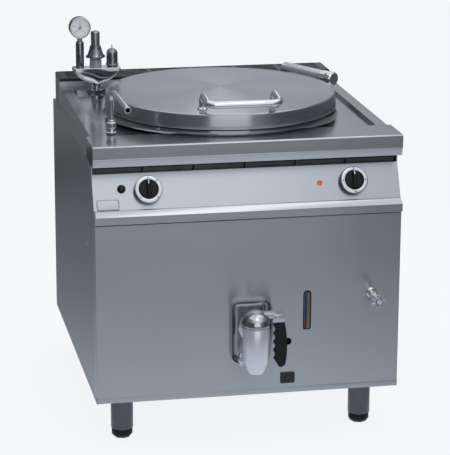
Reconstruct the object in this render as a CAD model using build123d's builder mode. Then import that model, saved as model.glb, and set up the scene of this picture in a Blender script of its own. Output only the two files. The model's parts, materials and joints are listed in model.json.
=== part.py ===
from build123d import *

import os
from math import asin, cos, degrees, radians, sin, sqrt

# Gas-heated steam-jacketed boiling kettle on four levelling legs, in millimetres.
# X runs to the right, Y from front to back and Z up. The origin lies on the floor, under the middle of
# the whole kettle. Depths are measured back from the worktop's front face, which stands at front_y.
# The cabinet is laid out round the vessel: its width sets the vessel, and the vessel sets its depth.

# ---------------------------------------------------------------- cabinet
width = 850
height = 850  # floor to the worktop's border
side_room = 125  # cabinet's side to the inside of the vessel
front_room = 60  # worktop's front face to the insulation
back_room = 24  # insulation to the flue
flue_depth = 110
leg_height = 150
sheet = 2
clearance = 0.3  # between pieces that move past each other
running_fit = 0.05  # radial, between a pin and its own bore
fold_r = 1.5  # outer radius of a folded edge
fine_edge, soft_edge = 1, 1.5  # eased edges of small fittings

# ---------------------------------------------------------------- worktop
fascia = 35  # upright front face
bevel_run, bevel_drop = 19, 22  # slanted face under it
border_depth = 130  # full-width front border
side_step = 11  # the worktop's sides stand in from its front border
side_border = 31
skirt = 60
recess = 10
back_border = 68
recess_corner = 12
edge_round = 2.5

# ---------------------------------------------------------------- vessel, jacket and fire
vessel_wall = 3
vessel_corner = 60
rim_width = 17
collar_rise = 18
collar_flare = 12
collar_width = 31
jacket_gap = 27
jacket_wall = 3
jacket_corner = 40
jacket_drop = 80  # deck to the jacket's top
jacket_floor_gap = 20
insulation_thickness = 25
insulation_up, insulation_down = 48, 45  # in from the jacket's floor and top
chamber_inset = 10
chamber_height = 82
burner_r, burner_bore, burner_pitch, burner_count = 18, 16, 80, 5
burner_out, burner_back_room = 15, 115  # ahead of the chamber, and short of its back

# ---------------------------------------------------------------- front
vent_height = 28  # dark gap under the worktop
vent_setback = 66
panel_top_depth = 48
slope_depth, slope_height = 43, 91
lip_out, lip_drop, lip_height = 24, 12, 22
front_panel_out = 8  # front panel stands this far ahead of the worktop's front face
front_return = 25
side_gap = 2  # side panels stand in from the worktop's front border

# ---------------------------------------------------------------- drain valve
valve_out = 98  # valve axis, ahead of the worktop's front face
valve_r = 37
valve_outlet_r = 22
valve_outlet_bore = 18
valve_foot_drop, valve_taper_drop, valve_head_rise = 105, 69, 26  # from the drain's axis
valve_cap_r = 41
cap_rise = 38
drain_z = 334
drain_r, drain_bore = 24, 19
plug_r = 27

# ---------------------------------------------------------------- services at the back
inlet_stub = 30
pipe_r, pipe_bore = 9, 7
nipple_r = 10.5  # threaded end of each supply, behind the rear panel
service_in, gland_in = 35, 95  # in from the cabinet's left side
gas_inlet_z, gland_z = 230, 560
cold_inlet_drop, hot_inlet_drop = 108, 152  # below the worktop

half = width / 2
vessel_r = half - side_room
insulation_r = vessel_r + vessel_wall + jacket_gap + jacket_wall + insulation_thickness
vessel_depth_y = front_room + insulation_r  # vessel axis, back from the front face
top_back = vessel_depth_y + insulation_r + back_room
recess_back = top_back - back_border
body_depth = top_back + flue_depth
front_reach = valve_out + valve_cap_r
back_reach = body_depth + inlet_stub
front_y = (front_reach - back_reach) / 2
rear_y = front_y + body_depth
vessel_y = front_y + vessel_depth_y

panel_half = half - side_gap  # outer face of the side panels
inner_half = panel_half - sheet
deck_half = half - side_step
recess_half = deck_half - side_border
deck_z = height - recess
skirt_z = height - skirt
under_z = height - fascia - bevel_drop  # underside of the front border
collar_z = deck_z + collar_rise
rim_z = collar_z + vessel_wall
collar_r = vessel_r + vessel_wall + collar_width
opening_r = vessel_r + vessel_wall + clearance
vessel_floor_z = drain_z - drain_bore - sheet  # just below the outlet, so that the vessel empties
jacket_top_z = deck_z - jacket_drop
jacket_floor_z = vessel_floor_z - vessel_wall - jacket_floor_gap - jacket_wall
insulation_low_z = jacket_floor_z + insulation_up
insulation_high_z = jacket_top_z - insulation_down
chamber_r = vessel_r - chamber_inset
chamber_z = jacket_floor_z - chamber_height
valve_foot_z = drain_z - valve_foot_drop
valve_taper_z = drain_z - valve_taper_drop
valve_head_z = drain_z + valve_head_rise
service_x = service_in - half  # pipes run forward between the jacket and the left side panel
cold_inlet_z = height - cold_inlet_drop
hot_inlet_z = height - hot_inlet_drop
gland_x = gland_in - half


def upright(x, y):
    """Vertical plane through a post's axis: its x is the radius and its y the height."""
    return Plane((x, y, 0), x_dir=(1, 0, 0), z_dir=(0, -1, 0))


def post_axis(x, y):
    return Axis((x, y, 0), (0, 0, 1))


def facing_front(x, y, z):
    """Plane whose normal points out of the kettle's front."""
    return Plane((x, y, z), x_dir=(1, 0, 0), z_dir=(0, -1, 0))


def fold(*corners, thickness=sheet, side=Side.LEFT):
    """Section of a bent sheet, drawn along its outer face into the sketch in hand."""
    with BuildLine() as section:
        Polyline(*corners)
        offset(amount=thickness, side=side, kind=Kind.INTERSECTION)
    make_face(section.edges())


def ring(outer, inner, low, high, mode=Mode.ADD):
    """Upright tube section for a revolve: radii and heights."""
    with Locations(((outer + inner) / 2, (low + high) / 2)):
        Rectangle(outer - inner, high - low, mode=mode)


def edges_through(part, corners):
    """Edges along X of a folded part that run through corners given by their y and z."""
    return [
        edge
        for edge in part.edges().filter_by(Axis.X)
        if any(abs(edge.center().Y - y) + abs(edge.center().Z - z) < clearance for y, z in corners)
    ]


os.makedirs("parts", exist_ok=True)

# ================================================================ worktop
spout_in, spout_behind = 72, 20  # in from the left side, and behind the front border
border_y = front_y + border_depth
spout_x = spout_in - half
spout_y = border_y + spout_behind
riser_in, riser_ahead = 107, 220  # in from the left side, and ahead of the rear panel
riser_x = riser_in - half
riser_y = rear_y - riser_ahead
riser_r = 12
spout_r = 8
beam_section = [
    (front_y, height),
    (front_y, height - fascia),
    (front_y + bevel_run, under_z),
    (border_y, under_z),
    (border_y, height),
]

with BuildPart() as worktop:
    with BuildSketch(Plane.YZ):
        with BuildLine():
            Polyline(*beam_section, close=True)
        make_face()
    extrude(amount=half, both=True)
    with BuildSketch(Plane.XY.offset(skirt_z)):
        with Locations((0, front_y + (border_depth + top_back) / 2)):
            Rectangle(2 * deck_half, top_back - border_depth)
    extrude(amount=skirt)
    # hollow from below, leaving the folded sheet
    with BuildSketch(Plane.YZ):
        with BuildLine():
            Polyline(*beam_section, close=True)
        make_face()
        offset(amount=-sheet, kind=Kind.INTERSECTION, mode=Mode.REPLACE)
    extrude(amount=half - sheet, both=True, mode=Mode.SUBTRACT)
    with BuildSketch(Plane.XY.offset(skirt_z)):
        with Locations((0, front_y + (border_depth + top_back) / 2)):
            Rectangle(2 * (deck_half - sheet), top_back - border_depth - 2 * sheet)
    extrude(amount=skirt - recess - sheet, mode=Mode.SUBTRACT)
    # recessed deck
    with BuildSketch(Plane.XY.offset(deck_z)):
        with Locations((0, front_y + (border_depth + recess_back) / 2)):
            RectangleRounded(2 * recess_half, recess_back - border_depth, recess_corner)
    extrude(amount=recess, mode=Mode.SUBTRACT)
    # flared collar round the vessel
    with BuildSketch(upright(0, vessel_y)):
        with BuildLine():
            Line((opening_r, deck_z - sheet), (collar_r, deck_z - sheet))
            Line((collar_r, deck_z - sheet), (collar_r, deck_z))
            RadiusArc((collar_r, deck_z), (collar_r - collar_flare, collar_z), collar_rise)
            Line((collar_r - collar_flare, collar_z), (opening_r, collar_z))
            Line((opening_r, collar_z), (opening_r, deck_z - sheet))
        make_face()
    revolve(axis=post_axis(0, vessel_y))
    with BuildSketch(Plane.XY.offset(skirt_z)):
        with Locations((0, vessel_y)):
            Circle(opening_r)
        with Locations((spout_x, spout_y)):
            Circle(spout_r)
        with Locations((riser_x, riser_y)):
            Circle(riser_r)
    extrude(amount=collar_z - skirt_z, mode=Mode.SUBTRACT)
    front_edges = worktop.edges().filter_by(Axis.X).group_by(Axis.Y)[0].group_by(Axis.Z)[-1]
    fillet(front_edges, radius=edge_round)
    fillet(edges_through(worktop, beam_section[1:3]), radius=fold_r)
worktop.part.label = "worktop"
export_step(worktop.part, "parts/worktop.step")

# ================================================================ front panels
lip_z = under_z - vent_height - slope_height  # upper edge of the bright chamfer
panel_top_z = under_z - vent_height
lip_front = front_y + panel_top_depth - slope_depth - lip_out
lip_low_z = lip_z - lip_drop - lip_height
slope_top = (front_y + panel_top_depth, panel_top_z)
slope_low = (front_y + panel_top_depth - slope_depth, lip_z)
slope_length = sqrt(slope_depth**2 + slope_height**2)
slope_low_point = (0, *slope_low)
slope_normal = Vector(0, -slope_height / slope_length, slope_depth / slope_length)


def on_slope(x, z):
    """Plane on the slanted control panel at a height, its normal pointing out of the panel."""
    y = slope_low[0] + (z - lip_z) * slope_depth / slope_height
    return Plane((x, y, z), x_dir=(1, 0, 0), z_dir=slope_normal)


# each fitting's distance in from its end of the panel, and down from the panel's top
igniter_in, igniter_drop = 76, 39
gas_knob_in, switch_knob_in, knob_drop = 147, 128, 45
lamp_in, lamp_drop = 221, 46
igniter_x = igniter_in - inner_half
gas_knob_x = gas_knob_in - inner_half
switch_knob_x = inner_half - switch_knob_in
lamp_x = inner_half - lamp_in
igniter_z = panel_top_z - igniter_drop
knob_z = panel_top_z - knob_drop
lamp_z = panel_top_z - lamp_drop
bezel_hole_r, spindle_r = 6, 3
igniter_r = 11.5
igniter_hole_r = 9
lamp_r, lamp_hole_r, lamp_lens, lamp_round, lamp_depth = 7.5, 6, 3, 2, 24
knob_places = [on_slope(gas_knob_x, knob_z), on_slope(switch_knob_x, knob_z)]
igniter_place = on_slope(igniter_x, igniter_z)
lamp_place = on_slope(lamp_x, lamp_z)

with BuildPart() as control_panel:
    with BuildSketch(Plane.YZ):
        fold(
            (front_y + vent_setback, panel_top_z),
            slope_top,
            slope_low,
            (lip_front, lip_z - lip_drop),
            (lip_front, lip_low_z),
            (front_y + front_return, lip_low_z),
        )
    extrude(amount=inner_half, both=True)
    for place, hole_r in [
        (knob_places[0], bezel_hole_r),
        (knob_places[1], bezel_hole_r),
        (igniter_place, igniter_hole_r),
        (lamp_place, lamp_hole_r),
    ]:
        with BuildSketch(place.offset(-2 * sheet)):
            Circle(hole_r)
        extrude(amount=3 * sheet, mode=Mode.SUBTRACT)
    lip_corners = [slope_top, (lip_front, lip_z - lip_drop), (lip_front, lip_low_z)]
    fillet(edges_through(control_panel, lip_corners), radius=fold_r)
control_panel.part.label = "control_panel"
export_step(control_panel.part, "parts/control_panel.step")

# dark strip that closes the gap under the worktop, with air slots between ribs
rib_count, rib_width, vent_slot_height = 6, 4, 8
rib_pitch = 2 * inner_half / rib_count
with BuildPart() as vent_strip:
    with BuildSketch(facing_front(0, front_y + vent_setback + sheet, panel_top_z + vent_height / 2)):
        Rectangle(2 * inner_half, vent_height)
        with GridLocations(rib_pitch, 1, rib_count, 1):
            SlotOverall(rib_pitch - 4 * rib_width, vent_slot_height, mode=Mode.SUBTRACT)
    extrude(amount=sheet)
    with BuildSketch(Plane.XY.offset(panel_top_z)):
        with Locations((0, front_y + (vent_setback + panel_top_depth) / 2)):
            with GridLocations(rib_pitch, 1, rib_count + 1, 1):
                Rectangle(rib_width, vent_setback - panel_top_depth)
    extrude(amount=vent_height)
    # the end ribs are trimmed where the side panels stand
    with BuildSketch(Plane.XY.offset(panel_top_z)):
        with Locations((inner_half + rib_width, front_y), (-inner_half - rib_width, front_y)):
            Rectangle(2 * rib_width, 4 * vent_setback)
    extrude(amount=vent_height, mode=Mode.SUBTRACT)
vent_strip.part.label = "vent_strip"
export_step(vent_strip.part, "parts/vent_strip.step")

front_panel_y = front_y - front_panel_out  # its outer face
panel_back = front_panel_y + sheet
plate_width, plate_height, plate_corner, plate_thickness = 107, 175, 20, 3
plate_x, plate_drop = 1.5, 12
plate_z = drain_z - plate_drop
slot_x, slot_z, slot_width, slot_height = 162, 368, 21, 115
tap_in, tap_z, tap_tail_r = 80, 410, 8
tap_x = panel_half - tap_in
port_x, port_z, port_r = 109, 282, 10
window_x, window_z, window_width, window_height = 108.5, 177, 40, 31
window_lens_r, window_rim, window_frame, window_corner = 9, 1.5, 2.5, 3

with BuildPart() as front_panel:
    with BuildSketch(Plane.XY.offset(leg_height)):
        fold(
            (-panel_half, front_y + front_return),
            (-panel_half, front_panel_y),
            (panel_half, front_panel_y),
            (panel_half, front_y + front_return),
        )
    extrude(amount=lip_low_z - leg_height)
    with BuildSketch(facing_front(0, panel_back, 0)):
        with Locations((0, drain_z)):
            Circle(drain_r)
        with Locations((slot_x, slot_z)):
            SlotOverall(slot_height, slot_width, rotation=90)
        with Locations((tap_x, tap_z)):
            Circle(tap_tail_r)
        with Locations((port_x, port_z)):
            Circle(port_r)
        with Locations((window_x, window_z)):
            Circle(window_lens_r)
    extrude(amount=sheet, mode=Mode.SUBTRACT)
    fillet(front_panel.edges().filter_by(Axis.Z).group_by(Axis.Y)[0], radius=fold_r)
front_panel.part.label = "front_panel"
export_step(front_panel.part, "parts/front_panel.step")

side_outline = [
    (front_y + front_return, leg_height),
    (front_y + front_return, lip_low_z),
    (lip_front, lip_low_z),
    (lip_front, lip_z - lip_drop),
    slope_low,
    slope_top,
    (slope_top[0], skirt_z),
    (rear_y, skirt_z),
    (rear_y, leg_height),
]
side_flange = 25
flange_y = front_y + (border_depth + body_depth) / 2
for side, name in [(-1, "side_panel_left"), (1, "side_panel_right")]:
    with BuildPart() as side_panel:
        with BuildSketch(Plane.YZ.offset(side * (panel_half - sheet / 2))):
            with BuildLine():
                Polyline(*side_outline, close=True)
            make_face()
        extrude(amount=sheet / 2, both=True)
        # top flange folded in under the worktop's skirt
        with BuildSketch(Plane.XY.offset(skirt_z - sheet)):
            with Locations((side * (panel_half - side_flange / 2), flange_y)):
                Rectangle(side_flange, body_depth - border_depth - 2 * sheet)
        extrude(amount=sheet)
    side_panel.part.label = name
    export_step(side_panel.part, f"parts/{name}.step")

# ================================================================ back
gland_r, gland_dome_r, gland_tail_r, cable_r = 12, 9, 7, 5
gland_nut, gland_dome, gland_tail = 6, 14, 12
louvre_count, louvre_pitch, louvre_length, louvre_slot = 8, 24, 260, 8
louvre_x, louvre_z = 0, 330
flue_half = deck_half + 1
flue_top_z = height + 14
with BuildPart() as rear_panel:
    with BuildSketch(facing_front(0, rear_y, (leg_height + flue_top_z) / 2)):
        Rectangle(2 * inner_half, flue_top_z - leg_height)
    extrude(amount=sheet)
    with BuildSketch(facing_front(0, rear_y, 0)):
        with Locations((service_x, gas_inlet_z), (service_x, cold_inlet_z), (service_x, hot_inlet_z)):
            Circle(pipe_r)
        with Locations((gland_x, gland_z)):
            Circle(gland_tail_r)
        with Locations((louvre_x, louvre_z)):
            with GridLocations(1, louvre_pitch, 1, louvre_count):
                SlotOverall(louvre_length, louvre_slot)
    extrude(amount=sheet, mode=Mode.SUBTRACT)
    # the panel narrows beside the flue, above the side panels
    with BuildSketch(facing_front(0, rear_y, (skirt_z + flue_top_z) / 2)):
        with Locations((-(flue_half + half) / 2, 0), ((flue_half + half) / 2, 0)):
            Rectangle(half - flue_half, flue_top_z - skirt_z)
    extrude(amount=sheet, mode=Mode.SUBTRACT)
rear_panel.part.label = "rear_panel"
export_step(rear_panel.part, "parts/rear_panel.step")

duct_half, duct_rise = 150, 10
duct_low_z = chamber_z + duct_rise
flue_front = front_y + top_back
flue_back = rear_y - sheet
flue_mid = (flue_front + flue_back) / 2
flue_deep = flue_back - flue_front
outlet_half, outlet_rise, outlet_height = 100, 17, 50
outlet_low_z = chamber_z + outlet_rise
outlet_high_z = outlet_low_z + outlet_height
with BuildPart() as flue_box:
    with BuildSketch(Plane.XY.offset(skirt_z)):
        with Locations((0, flue_mid)):
            Rectangle(2 * flue_half, flue_deep)
    extrude(amount=flue_top_z - skirt_z)
    with BuildSketch(Plane.XY.offset(duct_low_z)):
        with Locations((0, flue_mid)):
            Rectangle(2 * duct_half, flue_deep)
    extrude(amount=skirt_z - duct_low_z)
    with BuildSketch(Plane.XY.offset(skirt_z + sheet)):
        with Locations((0, flue_mid)):
            Rectangle(2 * (flue_half - sheet), flue_deep - 2 * sheet)
    extrude(amount=flue_top_z - skirt_z - sheet, mode=Mode.SUBTRACT)
    with BuildSketch(Plane.XY.offset(duct_low_z + sheet)):
        with Locations((0, flue_mid)):
            Rectangle(2 * (duct_half - sheet), flue_deep - 2 * sheet)
    extrude(amount=flue_top_z - duct_low_z, mode=Mode.SUBTRACT)
    # mouth for the combustion chamber's outlet
    with BuildSketch(facing_front(0, flue_front + sheet, (outlet_low_z + outlet_high_z) / 2)):
        Rectangle(2 * outlet_half, outlet_high_z - outlet_low_z)
    extrude(amount=sheet, mode=Mode.SUBTRACT)
flue_box.part.label = "flue_box"
export_step(flue_box.part, "parts/flue_box.step")

grille_thickness = 10
grille_rows, grille_row_pitch, grille_slot = 5, 19, 10
grille_columns, grille_border, grille_bar = 6, 18, 12
grille_column_pitch = 2 * (flue_half - grille_border) / grille_columns
grille_slot_length = grille_column_pitch - grille_bar
with BuildPart() as flue_grille:
    with BuildSketch(Plane.XY.offset(flue_top_z)):
        with Locations((0, flue_front + flue_depth / 2)):
            Rectangle(2 * flue_half, flue_depth)
            with GridLocations(grille_column_pitch, grille_row_pitch, grille_columns, grille_rows):
                SlotOverall(grille_slot_length, grille_slot, mode=Mode.SUBTRACT)
    extrude(amount=grille_thickness)
    chamfer(flue_grille.faces().sort_by(Axis.Z)[-1].outer_wire().edges(), length=edge_round)
flue_grille.part.label = "flue_grille"
export_step(flue_grille.part, "parts/flue_grille.step")

# ================================================================ vessel and jacket
with BuildPart() as vessel_form:
    # the vessel's outer form, solid, that its pipes are cut back to
    with BuildSketch(upright(0, vessel_y)):
        with BuildLine():
            outer_corner = vessel_corner + vessel_wall
            floor_edge = vessel_r - vessel_corner
            Line((0, vessel_floor_z - vessel_wall), (floor_edge, vessel_floor_z - vessel_wall))
            CenterArc((floor_edge, vessel_floor_z + vessel_corner), outer_corner, -90, 90)
            Line((vessel_r + vessel_wall, vessel_floor_z + vessel_corner), (vessel_r + vessel_wall, rim_z))
            Line((vessel_r + vessel_wall, rim_z), (0, rim_z))
            Line((0, rim_z), (0, vessel_floor_z - vessel_wall))
        make_face()
    revolve(axis=post_axis(0, vessel_y))

with BuildPart() as inner_vessel:
    add(vessel_form.part)
    with BuildSketch(upright(0, vessel_y)):
        ring(vessel_r + vessel_wall + rim_width, vessel_r, collar_z, rim_z)
    revolve(axis=post_axis(0, vessel_y))
    with BuildSketch(upright(0, vessel_y)):
        with BuildLine():
            Line((0, vessel_floor_z), (floor_edge, vessel_floor_z))
            CenterArc((floor_edge, vessel_floor_z + vessel_corner), vessel_corner, -90, 90)
            Line((vessel_r, vessel_floor_z + vessel_corner), (vessel_r, rim_z))
            Line((vessel_r, rim_z), (0, rim_z))
            Line((0, rim_z), (0, vessel_floor_z))
        make_face()
    revolve(axis=post_axis(0, vessel_y), mode=Mode.SUBTRACT)
    with BuildSketch(facing_front(0, vessel_y - floor_edge, drain_z)):
        Circle(drain_bore)
    extrude(amount=vessel_corner + rim_width, mode=Mode.SUBTRACT)
inner_vessel.part.label = "inner_vessel"
export_step(inner_vessel.part, "parts/inner_vessel.step")

jacket_r = vessel_r + vessel_wall + jacket_gap + jacket_wall  # outer
with BuildPart() as jacket_shell:
    with BuildSketch(upright(0, vessel_y)):
        with BuildLine():
            jacket_in = jacket_r - jacket_wall
            corner_r = jacket_r - jacket_corner
            corner_z = jacket_floor_z + jacket_corner
            Line((0, jacket_floor_z), (corner_r, jacket_floor_z))
            CenterArc((corner_r, corner_z), jacket_corner, -90, 90)
            Polyline(
                (jacket_r, corner_z),
                (jacket_r, jacket_top_z),
                (vessel_r + vessel_wall, jacket_top_z),
                (vessel_r + vessel_wall, jacket_top_z - jacket_wall),
                (jacket_in, jacket_top_z - jacket_wall),
                (jacket_in, corner_z),
            )
            CenterArc((corner_r, corner_z), jacket_corner - jacket_wall, -90, 90)
            Line((corner_r, jacket_floor_z + jacket_wall), (0, jacket_floor_z + jacket_wall))
            Line((0, jacket_floor_z + jacket_wall), (0, jacket_floor_z))
        make_face()
    revolve(axis=post_axis(0, vessel_y))
    with BuildSketch(facing_front(0, vessel_y - floor_edge, drain_z)):
        Circle(drain_r)
    extrude(amount=jacket_r, mode=Mode.SUBTRACT)
jacket_shell.part.label = "jacket_shell"
export_step(jacket_shell.part, "parts/jacket_shell.step")

with BuildPart() as insulation:
    with BuildSketch(upright(0, vessel_y)):
        ring(insulation_r, jacket_r, insulation_low_z, insulation_high_z)
    revolve(axis=post_axis(0, vessel_y))
    with BuildSketch(facing_front(0, vessel_y - floor_edge, drain_z)):
        Circle(drain_r + clearance)
    extrude(amount=insulation_r, mode=Mode.SUBTRACT)
insulation.part.label = "insulation"
export_step(insulation.part, "parts/insulation.step")

# ================================================================ fire
burner_rise = 35
burner_z = chamber_z + burner_rise
burner_front = vessel_y - chamber_r - burner_out
burner_length = 2 * chamber_r + burner_out - burner_back_room
air_slot_width, air_slot_length = 20, 300
with BuildPart() as combustion_chamber:
    with BuildSketch(Plane.XY.offset(chamber_z)):
        with Locations((0, vessel_y)):
            Circle(chamber_r)
    extrude(amount=chamber_height)
    with BuildSketch(facing_front(0, flue_front, (outlet_low_z + outlet_high_z) / 2)):
        Rectangle(2 * outlet_half, outlet_high_z - outlet_low_z)
    extrude(amount=flue_front - vessel_y)
    with BuildSketch(Plane.XY.offset(chamber_z + sheet)):
        with Locations((0, vessel_y)):
            Circle(chamber_r - sheet)
    extrude(amount=chamber_height, mode=Mode.SUBTRACT)
    with BuildSketch(facing_front(0, flue_front, (outlet_low_z + outlet_high_z) / 2)):
        Rectangle(2 * (outlet_half - sheet), outlet_high_z - outlet_low_z - 2 * sheet)
    extrude(amount=flue_front - vessel_y, mode=Mode.SUBTRACT)
    with BuildSketch(Plane.XY.offset(chamber_z)):
        with Locations((0, vessel_y)):
            with GridLocations(burner_pitch, 1, burner_count - 1, 1):
                SlotOverall(air_slot_length, air_slot_width, rotation=90)
    extrude(amount=sheet, mode=Mode.SUBTRACT)
    with BuildSketch(facing_front(0, vessel_y, burner_z)):
        with GridLocations(burner_pitch, 1, burner_count, 1):
            Circle(burner_r)
    extrude(amount=chamber_r, mode=Mode.SUBTRACT)
combustion_chamber.part.label = "combustion_chamber"
export_step(combustion_chamber.part, "parts/combustion_chamber.step")

burner_slit = 4
with BuildPart() as burner_tubes:
    with BuildSketch(facing_front(0, burner_front, burner_z)):
        with GridLocations(burner_pitch, 1, burner_count, 1):
            Circle(burner_r)
    extrude(amount=-burner_length)
    with BuildSketch(facing_front(0, burner_front, burner_z)):
        with GridLocations(burner_pitch, 1, burner_count, 1):
            Circle(burner_bore)
    extrude(amount=-(burner_length - sheet), mode=Mode.SUBTRACT)
    # a flame slit along the top of each tube, inside the chamber
    with BuildSketch(Plane.XY.offset(burner_z)):
        with Locations((0, vessel_y)):
            with GridLocations(burner_pitch, 1, burner_count, 1):
                Rectangle(burner_slit, air_slot_length)
    extrude(amount=burner_r, mode=Mode.SUBTRACT)
burner_tubes.part.label = "burner_tubes"
export_step(burner_tubes.part, "parts/burner_tubes.step")


def bent_pipe(points, radius, bore, bend):
    """Pipe along straight runs joined by arcs, into the part in hand."""
    with BuildLine() as route:
        FilletPolyline(*points, radius=bend)
    start = Plane(route.wire() @ 0, z_dir=route.wire() % 0)
    with BuildSketch(start) as section:
        Circle(radius)
        if bore:
            Circle(bore, mode=Mode.SUBTRACT)
    sweep(sections=section.sketch, path=route.wire())


valve_box, valve_back, valve_corner, valve_port_r = 46, 58, 6, 12
pipe_bend = 40
injector_bend, down_pipe_rise = 10, 60
supply_depth = 80
supply_y = front_y + supply_depth
injector_r, injector_length, injector_reach = 5, 16, 12
manifold_y = burner_front - injector_length
manifold_end_x = burner_pitch * (burner_count - 1) / 2 + 20
supply_drop, port_top_drop, port_drop = 25, 15, 55  # below the knob's axis
supply_z = knob_z - supply_drop
port_drop_z = knob_z - port_drop


def nipple(x, z):
    """Threaded connection that stands out behind the rear panel."""
    with BuildSketch(facing_front(x, rear_y + inlet_stub, z)) as section:
        Circle(nipple_r)
        Circle(pipe_bore, mode=Mode.SUBTRACT)
    extrude(section.sketch, amount=inlet_stub)


with BuildPart() as gas_valve:
    with BuildSketch(knob_places[0].offset(-sheet)):
        RectangleRounded(valve_box, valve_box, valve_corner)
    extrude(amount=-valve_back)
    with BuildSketch(Plane.XY.offset(port_drop_z)):
        with Locations((gas_knob_x, supply_y)):
            Circle(valve_port_r)
    extrude(amount=port_drop - port_top_drop)
    with BuildSketch(knob_places[0].offset(-valve_back)):
        Circle(spindle_r + running_fit)
    extrude(amount=valve_back, mode=Mode.SUBTRACT)
gas_valve.part.label = "gas_valve"
export_step(gas_valve.part, "parts/gas_valve.step")

with BuildPart() as gas_pipes:
    # supply from the back to the valve
    bent_pipe(
        [
            (service_x, rear_y + inlet_stub, gas_inlet_z),
            (service_x, supply_y, gas_inlet_z),
            (service_x, supply_y, supply_z),
            (gas_knob_x - valve_box / 2, supply_y, supply_z),
        ],
        pipe_r,
        pipe_bore,
        pipe_bend,
    )
    nipple(service_x, gas_inlet_z)
    # from the valve down to the injectors
    bent_pipe(
        [
            (gas_knob_x, supply_y, port_drop_z),
            (gas_knob_x, supply_y, burner_z + down_pipe_rise),
            (gas_knob_x, manifold_y, burner_z),
            (manifold_end_x, manifold_y, burner_z),
        ],
        pipe_r,
        0,
        injector_bend,
    )
    with BuildSketch(facing_front(0, manifold_y, burner_z)):
        with GridLocations(burner_pitch, 1, burner_count, 1):
            Circle(injector_r)
    extrude(amount=-(injector_length + injector_reach))
gas_pipes.part.label = "gas_pipes"
export_step(gas_pipes.part, "parts/gas_pipes.step")

# ================================================================ water
solenoid_depth, solenoid_width, solenoid_length = 245, 34, 56
solenoid_end, solenoid_corner = 18, 8
solenoid_y = front_y + solenoid_depth
coil_r, coil_length = 15, 38
fill_z = (cold_inlet_z + hot_inlet_z) / 2
solenoid_front = solenoid_y - solenoid_length / 2
with BuildPart() as solenoid_valves:
    with BuildSketch(facing_front(service_x, solenoid_y, fill_z)):
        RectangleRounded(solenoid_width, cold_inlet_z - hot_inlet_z + 2 * solenoid_end, solenoid_corner)
    extrude(amount=solenoid_length / 2, both=True)
    coil_x = service_x + solenoid_width / 2
    coil_face = Plane((coil_x, solenoid_y, fill_z), x_dir=(0, 1, 0), z_dir=(1, 0, 0))
    with BuildSketch(coil_face):
        with GridLocations(1, cold_inlet_z - hot_inlet_z, 1, 2):
            Circle(coil_r)
    extrude(amount=coil_length)
    chamfer(solenoid_valves.faces().sort_by(Axis.X)[-2:].edges(), length=soft_edge)
solenoid_valves.part.label = "solenoid_valves"
export_step(solenoid_valves.part, "parts/solenoid_valves.step")

fill_r, fill_bore, fill_bend = 8, 6.5, 18
with BuildPart() as water_pipes:
    # cold and hot supplies from the back
    with BuildSketch(facing_front(service_x, solenoid_y + solenoid_length / 2, fill_z)):
        with GridLocations(1, cold_inlet_z - hot_inlet_z, 1, 2):
            Circle(pipe_r)
            Circle(pipe_bore, mode=Mode.SUBTRACT)
    extrude(amount=-(rear_y + inlet_stub - solenoid_y - solenoid_length / 2))
    nipple(service_x, cold_inlet_z)
    nipple(service_x, hot_inlet_z)
    # mixed water to the spout
    bent_pipe(
        [
            (service_x, solenoid_front, fill_z),
            (service_x, spout_y, fill_z),
            (spout_x, spout_y, fill_z),
            (spout_x, spout_y, deck_z),
        ],
        fill_r,
        fill_bore,
        fill_bend,
    )
water_pipes.part.label = "water_pipes"
export_step(water_pipes.part, "parts/water_pipes.step")

with BuildPart() as cable_gland:
    with BuildSketch(facing_front(gland_x, rear_y, gland_z)):
        RegularPolygon(gland_r, 6)
    extrude(amount=-gland_nut)
    with BuildSketch(facing_front(gland_x, rear_y + gland_nut, gland_z)):
        Circle(gland_dome_r)
    extrude(amount=-gland_dome)
    with BuildSketch(facing_front(gland_x, rear_y, gland_z)):
        Circle(gland_tail_r)
    extrude(amount=gland_tail)
    with BuildSketch(facing_front(gland_x, rear_y + gland_nut + gland_dome, gland_z)):
        Circle(cable_r)
    extrude(amount=gland_nut + gland_dome + gland_tail, mode=Mode.SUBTRACT)
cable_gland.part.label = "cable_gland"
export_step(cable_gland.part, "parts/cable_gland.step")

# ================================================================ drain
valve_y = front_y - valve_out
plate_front = front_panel_y - plate_thickness
with BuildPart() as escutcheon_plate:
    with BuildSketch(facing_front(plate_x, front_panel_y, plate_z)):
        RectangleRounded(plate_width, plate_height, plate_corner)
    extrude(amount=plate_thickness)
    with BuildSketch(facing_front(0, front_panel_y, drain_z)):
        Circle(drain_r)
    extrude(amount=plate_thickness, mode=Mode.SUBTRACT)
    chamfer(escutcheon_plate.faces().sort_by(Axis.Y)[0].outer_wire().edges(), length=fine_edge)
escutcheon_plate.part.label = "escutcheon_plate"
export_step(escutcheon_plate.part, "parts/escutcheon_plate.step")

union_r, union_length, union_gap, union_flange_r = 36, 22, 4, 30
union_back = plate_front - union_gap
with BuildPart() as drain_pipe:
    with BuildSketch(facing_front(0, vessel_y - floor_edge, drain_z)):
        Circle(drain_r)
        Circle(drain_bore, mode=Mode.SUBTRACT)
    extrude(amount=vessel_y - floor_edge - union_back)
    add(vessel_form.part, mode=Mode.SUBTRACT)
    # flange that the tap's union nut pulls against
    with BuildSketch(facing_front(0, union_back, drain_z)):
        Circle(union_flange_r)
        Circle(drain_bore, mode=Mode.SUBTRACT)
    extrude(amount=-union_gap)
drain_pipe.part.label = "drain_pipe"
export_step(drain_pipe.part, "parts/drain_pipe.step")

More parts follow.
